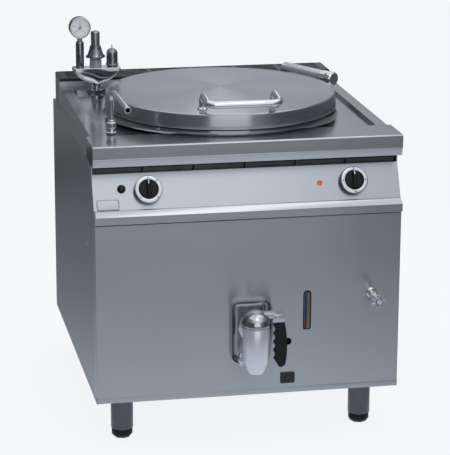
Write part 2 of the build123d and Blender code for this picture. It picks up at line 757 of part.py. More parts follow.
arm_reach, arm_rise, arm_half = 76, 12, 13
arm_low_z = valve_head_z + arm_rise
lock_dx, lock_dy, lock_drop = -33, 38, 88
lock_z = drain_z - lock_drop
lock_r, lock_ball_r, lock_travel, lug_height, lug_width = 4, 7, 8, 14, 16
cavity_drop = 52
cavity_low_z = drain_z - cavity_drop
port_bore, plug_floor = 17, 2
with BuildPart() as drain_valve_body:
    with BuildSketch(upright(0, valve_y)):
        with BuildLine():
            Polyline(
                (0, valve_foot_z),
                (valve_outlet_r, valve_foot_z),
                (valve_r, valve_taper_z),
                (valve_r, valve_head_z),
                (0, valve_head_z),
                close=True,
            )
        make_face()
    revolve(axis=post_axis(0, valve_y))
    # branch and union nut towards the panel
    with BuildSketch(facing_front(0, union_back, drain_z)):
        Circle(drain_r)
    extrude(amount=union_back - valve_y)
    with BuildSketch(facing_front(0, union_back, drain_z)):
        RegularPolygon(union_r, 8)
    extrude(amount=union_length)
    # lug for the lock pin
    lug_angle = degrees(asin(lock_dy / sqrt(lock_dx**2 + lock_dy**2)))
    lug_length = sqrt(lock_dx**2 + lock_dy**2)
    with BuildSketch(Plane.XY.offset(lock_z)):
        with Locations(Location((lock_dx / 2, valve_y + lock_dy / 2), 180 - lug_angle)):
            SlotCenterToCenter(lug_length, lug_width)
    extrude(amount=lug_height)
    with BuildSketch(upright(0, valve_y)):
        ring(plug_r, 0, cavity_low_z, valve_head_z)
        ring(valve_outlet_bore, 0, valve_foot_z, cavity_low_z)
    revolve(axis=post_axis(0, valve_y), mode=Mode.SUBTRACT)
    with BuildSketch(facing_front(0, union_back, drain_z)):
        Circle(drain_bore)
    extrude(amount=union_back - valve_y, mode=Mode.SUBTRACT)
    with BuildSketch(Plane.XY.offset(lock_z)):
        with Locations((lock_dx, valve_y + lock_dy)):
            Circle(lock_r + running_fit)
    extrude(amount=lug_height, mode=Mode.SUBTRACT)
drain_valve_body.part.label = "drain_valve_body"
export_step(drain_valve_body.part, "parts/drain_valve_body.step")

# L-port plug: closed at rest, with its side port turned away from the branch
with BuildPart() as drain_plug:
    with BuildSketch(upright(0, valve_y)):
        ring(plug_r - running_fit, 0, cavity_low_z + clearance, valve_head_z + clearance)
        ring(plug_r - running_fit, port_bore, cavity_low_z + clearance, cavity_low_z + plug_floor)
    revolve(axis=post_axis(0, valve_y))
    with BuildSketch(Plane.XY.offset(cavity_low_z)):
        with Locations((0, valve_y)):
            Circle(port_bore)
    extrude(amount=drain_z - cavity_low_z, mode=Mode.SUBTRACT)
    with BuildSketch(Plane((0, valve_y, drain_z), x_dir=(0, 1, 0), z_dir=(-1, 0, 0))):
        Circle(port_bore)
    extrude(amount=plug_r, mode=Mode.SUBTRACT)
drain_plug.part.label = "drain_plug"
export_step(drain_plug.part, "parts/drain_plug.step")

button_r, button_rise = 18, 4
cap_lip, cap_band = 2, 5  # eased lower edge, and the straight wall under the dome
arm_root, arm_lift, arm_slant = 10, 2, 12  # the lever's top runs level and then slants down to its end
grip_seat, throat_in, throat_drop = 28, 34, 14  # the grip's width under the lever, and the bend behind it
cap_low_z = valve_head_z + clearance
cap_top_z = cap_low_z + cap_rise
with BuildPart() as drain_cap:
    with BuildSketch(upright(0, valve_y)):
        with BuildLine():
            Polyline(
                (0, cap_low_z),
                (valve_cap_r - cap_lip, cap_low_z),
                (valve_cap_r, cap_low_z + cap_lip),
                (valve_cap_r, cap_low_z + cap_band),
            )
            RadiusArc((valve_cap_r, cap_low_z + cap_band), (button_r, cap_top_z), -valve_cap_r)
            Polyline(
                (button_r, cap_top_z),
                (button_r, cap_top_z + button_rise),
                (0, cap_top_z + button_rise),
                (0, cap_low_z),
            )
        make_face()
    revolve(axis=post_axis(0, valve_y))
    # lever cast in one with the cap, hooked down at its end to take the grip
    with BuildSketch(facing_front(0, valve_y, 0)):
        with BuildLine():
            Polyline(
                (0, cap_top_z - arm_root),
                (0, cap_top_z + arm_lift),
                (arm_reach - arm_slant, cap_top_z + arm_lift),
                (arm_reach, arm_low_z),
                (arm_reach - grip_seat, arm_low_z),
                (arm_reach - throat_in, cap_top_z - throat_drop),
                close=True,
            )
        make_face()
    extrude(amount=arm_half, both=True)
drain_cap.part.label = "drain_cap"
export_step(drain_cap.part, "parts/drain_cap.step")

grip_length, grip_half = 127, 11
groove_r, groove_count, groove_pitch = 13, 4, 24  # finger grooves down the inner side
groove_in, groove_drop = 35, 60
belly_out, belly_share = 8, 0.45  # the outer side swells most just above half way
toe_out, toe_r, toe_rise, heel_in, heel_rise = 4, 14, 8, 26, 20
with BuildPart() as drain_grip:
    with BuildSketch(facing_front(0, valve_y, 0)):
        with BuildLine():
            grip_low_z = arm_low_z - grip_length
            Line((arm_reach - grip_seat, arm_low_z), (arm_reach, arm_low_z))
            ThreePointArc(
                (arm_reach, arm_low_z),
                (arm_reach + belly_out, arm_low_z - belly_share * grip_length),
                (arm_reach + toe_out, grip_low_z + toe_rise),
            )
            RadiusArc((arm_reach + toe_out, grip_low_z + toe_rise), (arm_reach - toe_r, grip_low_z), toe_r)
            Line((arm_reach - toe_r, grip_low_z), (arm_reach - heel_in, grip_low_z + heel_rise))
            Line((arm_reach - heel_in, grip_low_z + heel_rise), (arm_reach - grip_seat, arm_low_z))
        make_face()
        with Locations((arm_reach - groove_in, arm_low_z - groove_drop)):
            with GridLocations(1, groove_pitch, 1, groove_count):
                Circle(groove_r, mode=Mode.SUBTRACT)
    extrude(amount=grip_half, both=True)
    grip_sides = drain_grip.faces().sort_by(Axis.Y)
    chamfer(grip_sides[0].edges() + grip_sides[-1].edges(), length=soft_edge)
drain_grip.part.label = "drain_grip"
export_step(drain_grip.part, "parts/drain_grip.step")

ball_low_z = lock_z + lug_height + clearance
with BuildPart() as drain_lock_pin:
    with BuildSketch(upright(lock_dx, valve_y + lock_dy)):
        ring(lock_r, 0, lock_z - lock_travel, ball_low_z + lock_ball_r)
        with BuildLine():
            CenterArc((0, ball_low_z + lock_ball_r), lock_ball_r, -90, 180)
            Line((0, ball_low_z + 2 * lock_ball_r), (0, ball_low_z))
        make_face()
    revolve(axis=post_axis(lock_dx, valve_y + lock_dy))
drain_lock_pin.part.label = "drain_lock_pin"
export_step(drain_lock_pin.part, "parts/drain_lock_pin.step")

# ================================================================ front fittings
sight_frame, sight_inset, sight_margin = 8, 0.5, 7
with BuildPart() as sight_glass:
    # framed glass strip set into the panel's slot
    with BuildSketch(facing_front(slot_x, panel_back + sight_frame, slot_z)):
        SlotOverall(slot_height, slot_width, rotation=90)
    extrude(amount=sight_frame + sheet - sight_inset)
    with BuildSketch(facing_front(slot_x, panel_back + sight_frame, slot_z)):
        SlotOverall(slot_height + 2 * sight_margin, slot_width + 2 * sight_margin, rotation=90)
    extrude(amount=sight_frame)
sight_glass.part.label = "sight_glass"
export_step(sight_glass.part, "parts/sight_glass.step")

with BuildPart() as inspection_window:
    with BuildSketch(facing_front(window_x, front_panel_y, window_z)):
        RectangleRounded(window_width, window_height, window_corner)
    extrude(amount=window_frame)
    with BuildSketch(facing_front(window_x, panel_back, window_z)):
        Circle(window_lens_r)
    extrude(amount=sheet)
    with BuildSketch(facing_front(window_x, front_panel_y, window_z)):
        Circle(window_lens_r - window_rim)
    extrude(amount=window_frame, mode=Mode.SUBTRACT)
    chamfer(inspection_window.faces().sort_by(Axis.Y)[0].outer_wire().edges(), length=fine_edge)
inspection_window.part.label = "inspection_window"
export_step(inspection_window.part, "parts/inspection_window.step")

tap_reach, tap_knob_length, tap_r = 62, 28, 9
tap_flange_r, tap_flange, tap_hex_r, tap_hex = 15, 5, 12, 12
tap_tail, tap_nut_r, tap_nut = 36, 13, 7
tap_stem_r, tap_stem, tap_stem_bore = 4, 12, 14
disc_out, disc_r, disc_thickness, disc_round = 10, 10, 13, 2
lobe_out, lobe_r, lobe_count = 13, 4.5, 4
tap_face = front_panel_y - tap_reach
nozzle_r, nozzle_bore, nozzle_drop, hex_out = 6, 4, 26, 34
nozzle_y = front_panel_y - hex_out + tap_hex
with BuildPart() as level_tap_body:
    with BuildSketch(facing_front(tap_x, front_panel_y, tap_z)):
        Circle(tap_flange_r)
    extrude(amount=tap_flange)
    with BuildSketch(facing_front(tap_x, front_panel_y, tap_z)):
        Circle(tap_r)
    extrude(amount=tap_reach)
    with BuildSketch(facing_front(tap_x, front_panel_y - hex_out, tap_z)):
        RegularPolygon(tap_hex_r, 6)
    extrude(amount=tap_hex)
    with BuildSketch(facing_front(tap_x, front_panel_y, tap_z)):
        Circle(tap_tail_r)
    extrude(amount=-tap_tail)
    with BuildSketch(facing_front(tap_x, panel_back, tap_z)):
        RegularPolygon(tap_nut_r, 6)
    extrude(amount=-tap_nut)
    with BuildSketch(Plane.XY.offset(tap_z - nozzle_drop)):
        with Locations((tap_x, nozzle_y)):
            Circle(nozzle_r)
    extrude(amount=nozzle_drop)
    with BuildSketch(Plane.XY.offset(tap_z - nozzle_drop)):
        with Locations((tap_x, nozzle_y)):
            Circle(nozzle_bore)
    extrude(amount=nozzle_drop, mode=Mode.SUBTRACT)
    with BuildSketch(facing_front(tap_x, tap_face, tap_z)):
        Circle(tap_stem_r + running_fit)
    extrude(amount=-tap_stem_bore, mode=Mode.SUBTRACT)
level_tap_body.part.label = "level_tap_body"
export_step(level_tap_body.part, "parts/level_tap_body.step")

with BuildPart() as level_tap_knob:
    with BuildSketch(facing_front(tap_x, tap_face - clearance, tap_z)):
        Circle(tap_r)
    extrude(amount=tap_knob_length)
    with BuildSketch(facing_front(tap_x, tap_face - disc_out, tap_z)):
        Circle(disc_r)
        with PolarLocations(lobe_out, lobe_count):
            Circle(lobe_r)
    extrude(amount=disc_thickness)
    with BuildSketch(facing_front(tap_x, tap_face - clearance, tap_z)):
        Circle(tap_stem_r)
    extrude(amount=-tap_stem)
    fillet(level_tap_knob.faces().sort_by(Axis.Y)[0].outer_wire().edges(), radius=disc_round)
level_tap_knob.part.label = "level_tap_knob"
export_step(level_tap_knob.part, "parts/level_tap_knob.step")

# ================================================================ knobs, button and lamp
bezel_r, bezel_bore_r, bezel_height, bezel_ring = 37.5, 27, 21, 5
grip_r, grip_disc, grip_bar = 25.5, 19, 12
bar_height, bar_taper = 10, 4
bezel_skirt_r, bezel_floor = 34.5, 2
spindle_gap = 8
with BuildPart() as knob_bezels:
    for place in knob_places:
        with BuildSketch(place):
            Circle(bezel_skirt_r)
        extrude(amount=bezel_height - bezel_ring)
        with BuildSketch(place.offset(bezel_height - bezel_ring)):
            Circle(bezel_r)
        extrude(amount=bezel_ring)
        with BuildSketch(place.offset(bezel_floor)):
            Circle(bezel_bore_r)
        extrude(amount=bezel_height, mode=Mode.SUBTRACT)
        with BuildSketch(place):
            Circle(bezel_hole_r)
        extrude(amount=bezel_height, mode=Mode.SUBTRACT)
    out_of_slope = Axis(slope_low_point, slope_normal)
    ring_faces = knob_bezels.faces().filter_by(GeomType.PLANE).group_by(out_of_slope)[-1]
    chamfer([face.outer_wire().edges()[0] for face in ring_faces], length=soft_edge)
knob_bezels.part.label = "knob_bezels"
export_step(knob_bezels.part, "parts/knob_bezels.step")

for place, name in zip(knob_places, ["gas_knob", "switch_knob"]):
    with BuildPart() as knob:
        with BuildSketch(place.offset(bezel_floor + clearance)):
            Circle(grip_r)
        extrude(amount=grip_disc)
        with BuildSketch(place.offset(grip_disc)):
            SlotOverall(2 * grip_r - fine_edge, grip_bar, rotation=90)
        extrude(amount=bar_height, taper=bar_taper)
        with BuildSketch(place.offset(spindle_gap - valve_back)):
            Circle(spindle_r)
        extrude(amount=valve_back)
    knob.part.label = name
    export_step(knob.part, f"parts/{name}.step")

switch_box, switch_back, switch_corner = 44, 46, 3
terminal_pitch, terminal_spread, terminal_width, terminal_thickness, terminal_length = 14, 30, 6, 4, 6
with BuildPart() as selector_switch:
    with BuildSketch(knob_places[1].offset(-sheet)):
        RectangleRounded(switch_box, switch_box, switch_corner)
    extrude(amount=-switch_back)
    with BuildSketch(knob_places[1].offset(-sheet - switch_back)):
        with GridLocations(terminal_pitch, terminal_spread, 3, 2):
            Rectangle(terminal_width, terminal_thickness)
    extrude(amount=-terminal_length)
    with BuildSketch(knob_places[1].offset(-valve_back)):
        Circle(spindle_r + running_fit)
    extrude(amount=valve_back, mode=Mode.SUBTRACT)
selector_switch.part.label = "selector_switch"
export_step(selector_switch.part, "parts/selector_switch.step")

button_travel, igniter_button_r, button_tail, button_proud = 5, 7, 10, 1
igniter_collar, igniter_depth, igniter_well = 4, 30, 22
with BuildPart() as igniter_housing:
    with BuildSketch(igniter_place):
        Circle(igniter_r)
    extrude(amount=igniter_collar)
    with BuildSketch(igniter_place):
        Circle(igniter_hole_r)
    extrude(amount=-igniter_depth)
    with BuildSketch(igniter_place.offset(igniter_collar)):
        Circle(igniter_button_r + clearance)
    extrude(amount=-igniter_well, mode=Mode.SUBTRACT)
igniter_housing.part.label = "igniter_housing"
export_step(igniter_housing.part, "parts/igniter_housing.step")

with BuildPart() as igniter_button:
    with BuildSketch(igniter_place.offset(-button_tail)):
        Circle(igniter_button_r)
    extrude(amount=button_tail + igniter_collar + button_travel + button_proud)
    chamfer(igniter_button.faces().sort_by(Axis.Y)[0].edges(), length=fine_edge)
igniter_button.part.label = "igniter_button"
export_step(igniter_button.part, "parts/igniter_button.step")

with BuildPart() as pilot_lamp:
    with BuildSketch(lamp_place):
        Circle(lamp_r)
    extrude(amount=lamp_lens)
    with BuildSketch(lamp_place):
        Circle(lamp_hole_r)
    extrude(amount=-lamp_depth)
    fillet(pilot_lamp.faces().sort_by(Axis.Y)[0].edges(), radius=lamp_round)
pilot_lamp.part.label = "pilot_lamp"
export_step(pilot_lamp.part, "parts/pilot_lamp.step")

# ================================================================ base and legs
leg_in, leg_front_depth, leg_ahead = 85, 90, 90
leg_x = half - leg_in
leg_back_depth = body_depth - leg_ahead
sleeve_r, sleeve_wall = 31, 2
leg_flange, leg_flange_thickness = 9, 4
foot_height, foot_r, foot_stem_r, foot_travel, stem_spare = 25, 30, 12, 40, 12
foot_base_in, foot_base_rise, foot_brow_in, foot_brow_drop = 6, 7, 3, 4
sleeve_low_z = foot_height + clearance
insert_height = 20
insert_high_z = sleeve_low_z + insert_height
sleeve_bore = sleeve_r - sleeve_wall
leg_middle = front_y + (leg_front_depth + leg_back_depth) / 2
rail_in, rail_width, rail_margin = 30, 30, 15
rail_x = chamber_r - rail_in
air_opening = 2 * (rail_x - rail_width / 2 - rail_margin)
rail_length = 2 * (chamber_r - chamber_inset)
base_flange, air_corner = 40, 20
base_front = panel_back
base_back = rear_y - sheet
with BuildPart() as base_frame:
    with BuildSketch(Plane.XY.offset(leg_height)):
        with Locations((0, (base_front + base_back) / 2)):
            Rectangle(2 * inner_half, base_back - base_front)
    extrude(amount=base_flange)
    with BuildSketch(Plane.XY.offset(leg_height + sheet)):
        with Locations((0, (base_front + base_back) / 2)):
            Rectangle(2 * (inner_half - sheet), base_back - base_front - 2 * sheet)
    extrude(amount=base_flange, mode=Mode.SUBTRACT)
    with BuildSketch(Plane.XY.offset(leg_height)):
        with Locations((0, leg_middle)):
            RectangleRounded(air_opening, air_opening, air_corner)
    extrude(amount=sheet, mode=Mode.SUBTRACT)
    # two rails carry the combustion chamber
    with BuildSketch(Plane.XY.offset(leg_height + sheet)):
        with Locations((0, vessel_y)):
            with GridLocations(2 * rail_x, 1, 2, 1):
                Rectangle(rail_width, rail_length)
                Rectangle(rail_width - 2 * sheet, rail_length - 2 * sheet, mode=Mode.SUBTRACT)
    extrude(amount=chamber_z - leg_height - sheet)
base_frame.part.label = "base_frame"
export_step(base_frame.part, "parts/base_frame.step")

foot_names = ["foot_front_left", "foot_front_right", "foot_rear_left", "foot_rear_right"]
foot_places = [
    (-leg_x, front_y + leg_front_depth),
    (leg_x, front_y + leg_front_depth),
    (-leg_x, front_y + leg_back_depth),
    (leg_x, front_y + leg_back_depth),
]
with BuildPart() as leg_sleeves:
    for x, y in foot_places:
        with BuildSketch(upright(x, y)):
            ring(sleeve_r, sleeve_bore, sleeve_low_z, leg_height)
            ring(sleeve_r + leg_flange, sleeve_bore, leg_height - leg_flange_thickness, leg_height)
            ring(sleeve_bore, foot_stem_r + running_fit, sleeve_low_z, insert_high_z)
        revolve(axis=post_axis(x, y))
leg_sleeves.part.label = "leg_sleeves"
export_step(leg_sleeves.part, "parts/leg_sleeves.step")

stem_high_z = foot_height + insert_height + foot_travel + stem_spare
for name, (x, y) in zip(foot_names, foot_places):
    with BuildPart() as foot:
        with BuildSketch(upright(x, y)):
            with BuildLine():
                Polyline(
                    (0, 0),
                    (foot_r - foot_base_in, 0),
                    (foot_r, foot_base_rise),
                    (foot_r, foot_height - foot_brow_drop),
                    (foot_r - foot_brow_in, foot_height),
                    (foot_stem_r, foot_height),
                    (foot_stem_r, stem_high_z),
                    (0, stem_high_z),
                    close=True,
                )
            make_face()
        revolve(axis=post_axis(x, y))
    foot.part.label = name
    export_step(foot.part, f"parts/{name}.step")

# ================================================================ water spout
spout_nut_r, spout_flange_r, spout_waist_r, spout_base_height = 15, 18, 12, 45
spout_flange, spout_nut, spout_waist = 4, 14, 10  # heights from the deck up
spout_nut_z = deck_z + spout_flange
spout_waist_z = spout_nut_z + spout_nut
spout_swivel_z = spout_waist_z + spout_waist
spout_seat = 10
spout_bore, spout_bend, spout_ring_r, spout_ring = 6.5, 26, 9.5, 7
spout_rise, spout_tip_rise, spout_reach, spout_angle = 123, 97, 150, -81
spout_top_z = height + spout_rise
spout_tip_z = height + spout_tip_rise
with BuildPart() as spout_base:
    with BuildSketch(Plane.XY.offset(deck_z)):
        with Locations((spout_x, spout_y)):
            Circle(spout_flange_r)
    extrude(amount=spout_flange)
    with BuildSketch(Plane.XY.offset(spout_nut_z)):
        with Locations((spout_x, spout_y)):
            RegularPolygon(spout_nut_r, 6)
    extrude(amount=spout_nut)
    with BuildSketch(Plane.XY.offset(spout_waist_z)):
        with Locations((spout_x, spout_y)):
            Circle(spout_waist_r)
    extrude(amount=spout_waist)
    with BuildSketch(Plane.XY.offset(spout_swivel_z)):
        with Locations((spout_x, spout_y)):
            RegularPolygon(spout_nut_r, 8)
    extrude(amount=deck_z + spout_base_height - spout_swivel_z)
    with BuildSketch(Plane.XY.offset(deck_z + spout_seat)):
        with Locations((spout_x, spout_y)):
            Circle(spout_r + running_fit)
    extrude(amount=spout_base_height, mode=Mode.SUBTRACT)
    with BuildSketch(Plane.XY.offset(deck_z)):
        with Locations((spout_x, spout_y)):
            Circle(fill_bore)
    extrude(amount=spout_seat, mode=Mode.SUBTRACT)
spout_base.part.label = "spout_base"
export_step(spout_base.part, "parts/spout_base.step")

spout_tip = (
    spout_x + spout_reach * cos(radians(spout_angle)),
    spout_y + spout_reach * sin(radians(spout_angle)),
    spout_tip_z,
)
with BuildPart() as spout_pipe:
    bent_pipe(
        [(spout_x, spout_y, deck_z + spout_seat + clearance), (spout_x, spout_y, spout_top_z), spout_tip],
        spout_r,
        spout_bore,
        spout_bend,
    )
    arm_direction = Vector(*spout_tip) - Vector(spout_x, spout_y, spout_top_z)
    with BuildSketch(Plane(spout_tip, z_dir=arm_direction)):
        Circle(spout_ring_r)
        Circle(spout_bore, mode=Mode.SUBTRACT)
    extrude(amount=-spout_ring)
spout_pipe.part.label = "spout_pipe"
export_step(spout_pipe.part, "parts/spout_pipe.step")

# ================================================================ safety group
manifold_rise, plate_rise = 78, 10
manifold_x = riser_x - 1
manifold_top_z = height + manifold_rise
manifold_length, manifold_width, manifold_corner = 140, 46, 8
# the casting under the plate narrows through a waist down to the column
shoulder_in, shoulder_corner = 4, 16
waist_in_x, waist_in_y, waist_drop, waist_corner = 26, 8, 16, 18
manifold_foot_r = 14
riser_bore, riser_bend, riser_sink = 9, 30, 0.5
riser_flange_r, riser_flange, riser_nut_r, riser_nut = 22, 5, 18, 14
riser_band_r, riser_band_rise, riser_band_drop = 16, 22, 8
inside_share = 0.95  # the branch starts inside the jacket and is cut back to its wall
column_height = 40
column_top_z = deck_z + column_height
branch_drop = 22
branch_z = jacket_top_z - branch_drop
riser_bearing = sqrt(riser_x**2 + (riser_y - vessel_y) ** 2)
branch_reach = inside_share * jacket_r / riser_bearing
branch_start = (riser_x * branch_reach, vessel_y + (riser_y - vessel_y) * branch_reach, branch_z)
with BuildPart() as jacket_form:
    with BuildSketch(Plane.XY.offset(jacket_floor_z)):
        with Locations((0, vessel_y)):
            Circle(jacket_r)
    extrude(amount=jacket_top_z - jacket_floor_z)

with BuildPart() as riser_pipe:
    bent_pipe(
        [
            branch_start,
            (riser_x, riser_y, branch_z),
            (riser_x, riser_y, column_top_z),
        ],
        riser_r,
        riser_bore,
        riser_bend,
    )
    add(jacket_form.part, mode=Mode.SUBTRACT)
    with BuildSketch(upright(riser_x, riser_y)):
        ring(riser_flange_r, riser_r - riser_sink, deck_z, deck_z + riser_flange)
        ring(riser_band_r, riser_r - riser_sink, deck_z + riser_band_rise, column_top_z - riser_band_drop)
    revolve(axis=post_axis(riser_x, riser_y))
    with BuildSketch(Plane.XY.offset(deck_z + riser_flange)):
        with Locations((riser_x, riser_y)):
            RegularPolygon(riser_nut_r, 6)
            Circle(riser_r - riser_sink, mode=Mode.SUBTRACT)
    extrude(amount=riser_nut)
riser_pipe.part.label = "riser_pipe"
export_step(riser_pipe.part, "parts/riser_pipe.step")

with BuildPart() as safety_manifold:
    with BuildSketch(Plane.XY.offset(manifold_top_z - plate_rise)):
        with Locations((manifold_x, riser_y)):
            RectangleRounded(manifold_length, manifold_width, manifold_corner)
    extrude(amount=plate_rise)
    with BuildSketch(Plane.XY.offset(manifold_top_z - plate_rise)):
        with Locations((manifold_x, riser_y)):
            RectangleRounded(manifold_length - shoulder_in, manifold_width - shoulder_in, shoulder_corner)
    with BuildSketch(Plane.XY.offset(manifold_top_z - plate_rise - waist_drop)):
        with Locations((manifold_x, riser_y)):
            RectangleRounded(manifold_length - waist_in_x, manifold_width - waist_in_y, waist_corner)
    with BuildSketch(Plane.XY.offset(column_top_z)):
        with Locations((riser_x, riser_y)):
            Circle(manifold_foot_r)
    loft()
    chamfer(safety_manifold.faces().sort_by(Axis.Z)[-1].edges(), length=soft_edge)
safety_manifold.part.label = "safety_manifold"
export_step(safety_manifold.part, "parts/safety_manifold.step")

gauge_out, gauge_rise, gauge_r, gauge_deep = 49, 119, 31.5, 28
gauge_x = riser_x - gauge_out
gauge_z = manifold_top_z + gauge_rise
stem_r, stem_height, neck_r, stem_brow = 12, 78, 6, 3
stem_top_z = manifold_top_z + stem_height
gauge_front = riser_y - gauge_deep / 2
dial_r, dial_depth, glass_depth, glass_thickness = 28, 7, 1, 1.5
gauge_round = 2
needle_r, needle_hub_r, needle_thickness, needle_stem, needle_lift = 1, 3, 0.8, 6, 2
needle_tip_in, needle_tip_half, needle_half, tail_length, tail_half = 6, 0.3, 1.2, 9, 1.6
needle_rest = 225  # degrees from +X seen from the front: the scale's zero
with BuildPart() as gauge_case:
    with BuildSketch(facing_front(gauge_x, riser_y + gauge_deep / 2, gauge_z)):
        Circle(gauge_r)
    extrude(amount=gauge_deep)
    fillet(gauge_case.faces().sort_by(Axis.Y)[0].edges(), radius=gauge_round)
    with BuildSketch(facing_front(gauge_x, gauge_front + dial_depth, gauge_z)):
        Circle(dial_r)
    extrude(amount=dial_depth, mode=Mode.SUBTRACT)
    with BuildSketch(facing_front(gauge_x, gauge_front + dial_depth + needle_stem, gauge_z)):
        Circle(needle_r + running_fit)
    extrude(amount=needle_stem, mode=Mode.SUBTRACT)
gauge_case.part.label = "gauge_case"
export_step(gauge_case.part, "parts/gauge_case.step")

with BuildPart() as gauge_case_form:
    with BuildSketch(facing_front(gauge_x, riser_y + gauge_deep / 2, gauge_z)):
        Circle(gauge_r)
    extrude(amount=gauge_deep)

with BuildPart() as gauge_glass:
    with BuildSketch(facing_front(gauge_x, gauge_front + glass_depth + glass_thickness, gauge_z)):
        Circle(dial_r)
    extrude(amount=glass_thickness)
gauge_glass.part.label = "gauge_glass"
export_step(gauge_glass.part, "parts/gauge_glass.step")

needle_back = gauge_front + dial_depth - needle_lift
needle_tip = dial_r - needle_tip_in
with BuildPart() as gauge_needle:
    with BuildSketch(facing_front(gauge_x, needle_back, gauge_z)):
        Circle(needle_hub_r)
        with Locations(Location((0, 0), needle_rest)):
            with BuildLine():
                Polyline(
                    (0, needle_half),
                    (needle_tip, needle_tip_half),
                    (needle_tip, -needle_tip_half),
                    (0, -needle_half),
                    (-tail_length, -tail_half),
                    (-tail_length, tail_half),
                    close=True,
                )
            make_face()
    extrude(amount=needle_thickness)
    with BuildSketch(facing_front(gauge_x, needle_back, gauge_z)):
        Circle(needle_r)
    extrude(amount=-needle_stem)
gauge_needle.part.label = "gauge_needle"
export_step(gauge_needle.part, "parts/gauge_needle.step")

with BuildPart() as gauge_stem:
    with BuildSketch(upright(gauge_x, riser_y)):
        ring(stem_r, 0, manifold_top_z, stem_top_z)
        ring(neck_r, 0, stem_top_z, gauge_z)
    revolve(axis=post_axis(gauge_x, riser_y))
    chamfer(gauge_stem.edges().filter_by(GeomType.CIRCLE).group_by(Axis.Z)[2], length=stem_brow)
    add(gauge_case_form.part, mode=Mode.SUBTRACT)
gauge_stem.part.label = "gauge_stem"
export_step(gauge_stem.part, "parts/gauge_stem.step")

relief_out, relief_hex_r, relief_skirt_r, relief_hex_height = 3, 19, 26, 24
relief_neck_rise, relief_height = 64, 107
relief_x = riser_x - relief_out
relief_neck_z = manifold_top_z + relief_neck_rise
relief_top_z = manifold_top_z + relief_height
cap_r, cap_brow, stud_r, stud_drop = 13, 2, 5, 10
# the bell: waist on the hexagon, drip edge and swept side up to the neck
bell_waist_in, bell_waist, bell_edge_low, bell_edge_high, bell_neck_out, bell_sweep = 3, 3, 5, 10, 2, 60
bell_lug_r, bell_lug_in, bell_lug_rise, bell_lug_height, bell_lug_count = 6.5, 4, 4, 8, 6
flute_r, flute_out, flute_rise, flute_count = 2, 1, 8, 8
with BuildPart() as safety_valve_body:
    with BuildSketch(Plane.XY.offset(manifold_top_z)):
        with Locations((relief_x, riser_y)):
            RegularPolygon(relief_hex_r, 6)
    extrude(amount=relief_hex_height)
    bell_z = manifold_top_z + relief_hex_height
    with BuildSketch(upright(relief_x, riser_y)):
        with BuildLine():
            Polyline(
                (0, bell_z),
                (relief_hex_r - bell_waist_in, bell_z),
                (relief_hex_r - bell_waist_in, bell_z + bell_waist),
                (relief_skirt_r, bell_z + bell_edge_low),
                (relief_skirt_r, bell_z + bell_edge_high),
            )
            bell_side = (relief_skirt_r, bell_z + bell_edge_high)
            bell_neck = (cap_r + bell_neck_out, relief_neck_z)
            RadiusArc(bell_side, bell_neck, bell_sweep)
            Polyline(
                bell_neck,
                (stud_r, relief_neck_z),
                (stud_r, relief_top_z - stud_drop),
                (0, relief_top_z - stud_drop),
                (0, bell_z),
            )
        make_face()
    revolve(axis=post_axis(relief_x, riser_y))
    with BuildSketch(Plane.XY.offset(bell_z + bell_lug_rise)):
        with Locations((relief_x, riser_y)):
            with PolarLocations(relief_skirt_r - bell_lug_in, bell_lug_count):
                Circle(bell_lug_r)
    extrude(amount=bell_lug_height)
safety_valve_body.part.label = "safety_valve_body"
export_step(safety_valve_body.part, "parts/safety_valve_body.step")

with BuildPart() as safety_valve_cap:
    with BuildSketch(upright(relief_x, riser_y)):
        ring(cap_r, 0, relief_neck_z + clearance, relief_top_z)
    revolve(axis=post_axis(relief_x, riser_y))
    chamfer(safety_valve_cap.faces().sort_by(Axis.Z)[-1].edges(), length=cap_brow)
    with BuildSketch(upright(relief_x, riser_y)):
        ring(stud_r + running_fit, 0, relief_neck_z, relief_top_z - stud_drop + clearance)
    revolve(axis=post_axis(relief_x, riser_y), mode=Mode.SUBTRACT)
    # grip flutes
    with BuildSketch(Plane.XY.offset(relief_neck_z + flute_rise)):
        with Locations((relief_x, riser_y)):
            with PolarLocations(cap_r + flute_out, flute_count):
                Circle(flute_r)
    extrude(amount=relief_top_z, mode=Mode.SUBTRACT)
safety_valve_cap.part.label = "safety_valve_cap"
export_step(safety_valve_cap.part, "parts/safety_valve_cap.step")

vent_in, vent_flange_r, vent_dome_r, vent_height_above, vent_pin_r = 46, 19, 16.5, 55, 2
vent_x = riser_x + vent_in
vent_top_z = manifold_top_z + vent_height_above
vent_travel, vent_pin_out, vent_pin_in = 3, 10, 30
vent_foot_in, vent_flange_low, vent_flange_high, vent_dome_low = 3, 5, 9, 11
with BuildPart() as vent_valve_body:
    with BuildSketch(upright(vent_x, riser_y)):
        with BuildLine():
            dome_z = vent_top_z - vent_dome_r
            Polyline(
                (0, manifold_top_z),
                (vent_flange_r - vent_foot_in, manifold_top_z),
                (vent_flange_r, manifold_top_z + vent_flange_low),
                (vent_flange_r, manifold_top_z + vent_flange_high),
                (vent_dome_r, manifold_top_z + vent_dome_low),
                (vent_dome_r, dome_z),
            )
            CenterArc((0, dome_z), vent_dome_r, 0, 90)
            Line((0, vent_top_z), (0, manifold_top_z))
        make_face()
        ring(
            vent_pin_r + running_fit,
            0,
            vent_top_z - vent_pin_in - vent_travel - clearance,
            vent_top_z + clearance,
            mode=Mode.SUBTRACT,
        )
    revolve(axis=post_axis(vent_x, riser_y))
vent_valve_body.part.label = "vent_valve_body"
export_step(vent_valve_body.part, "parts/vent_valve_body.step")

with BuildPart() as vent_pin:
    with BuildSketch(upright(vent_x, riser_y)):
        ring(vent_pin_r, 0, vent_top_z - vent_pin_in, vent_top_z + vent_pin_out)
    revolve(axis=post_axis(vent_x, riser_y))
vent_pin.part.label = "vent_pin"
export_step(vent_pin.part, "parts/vent_pin.step")

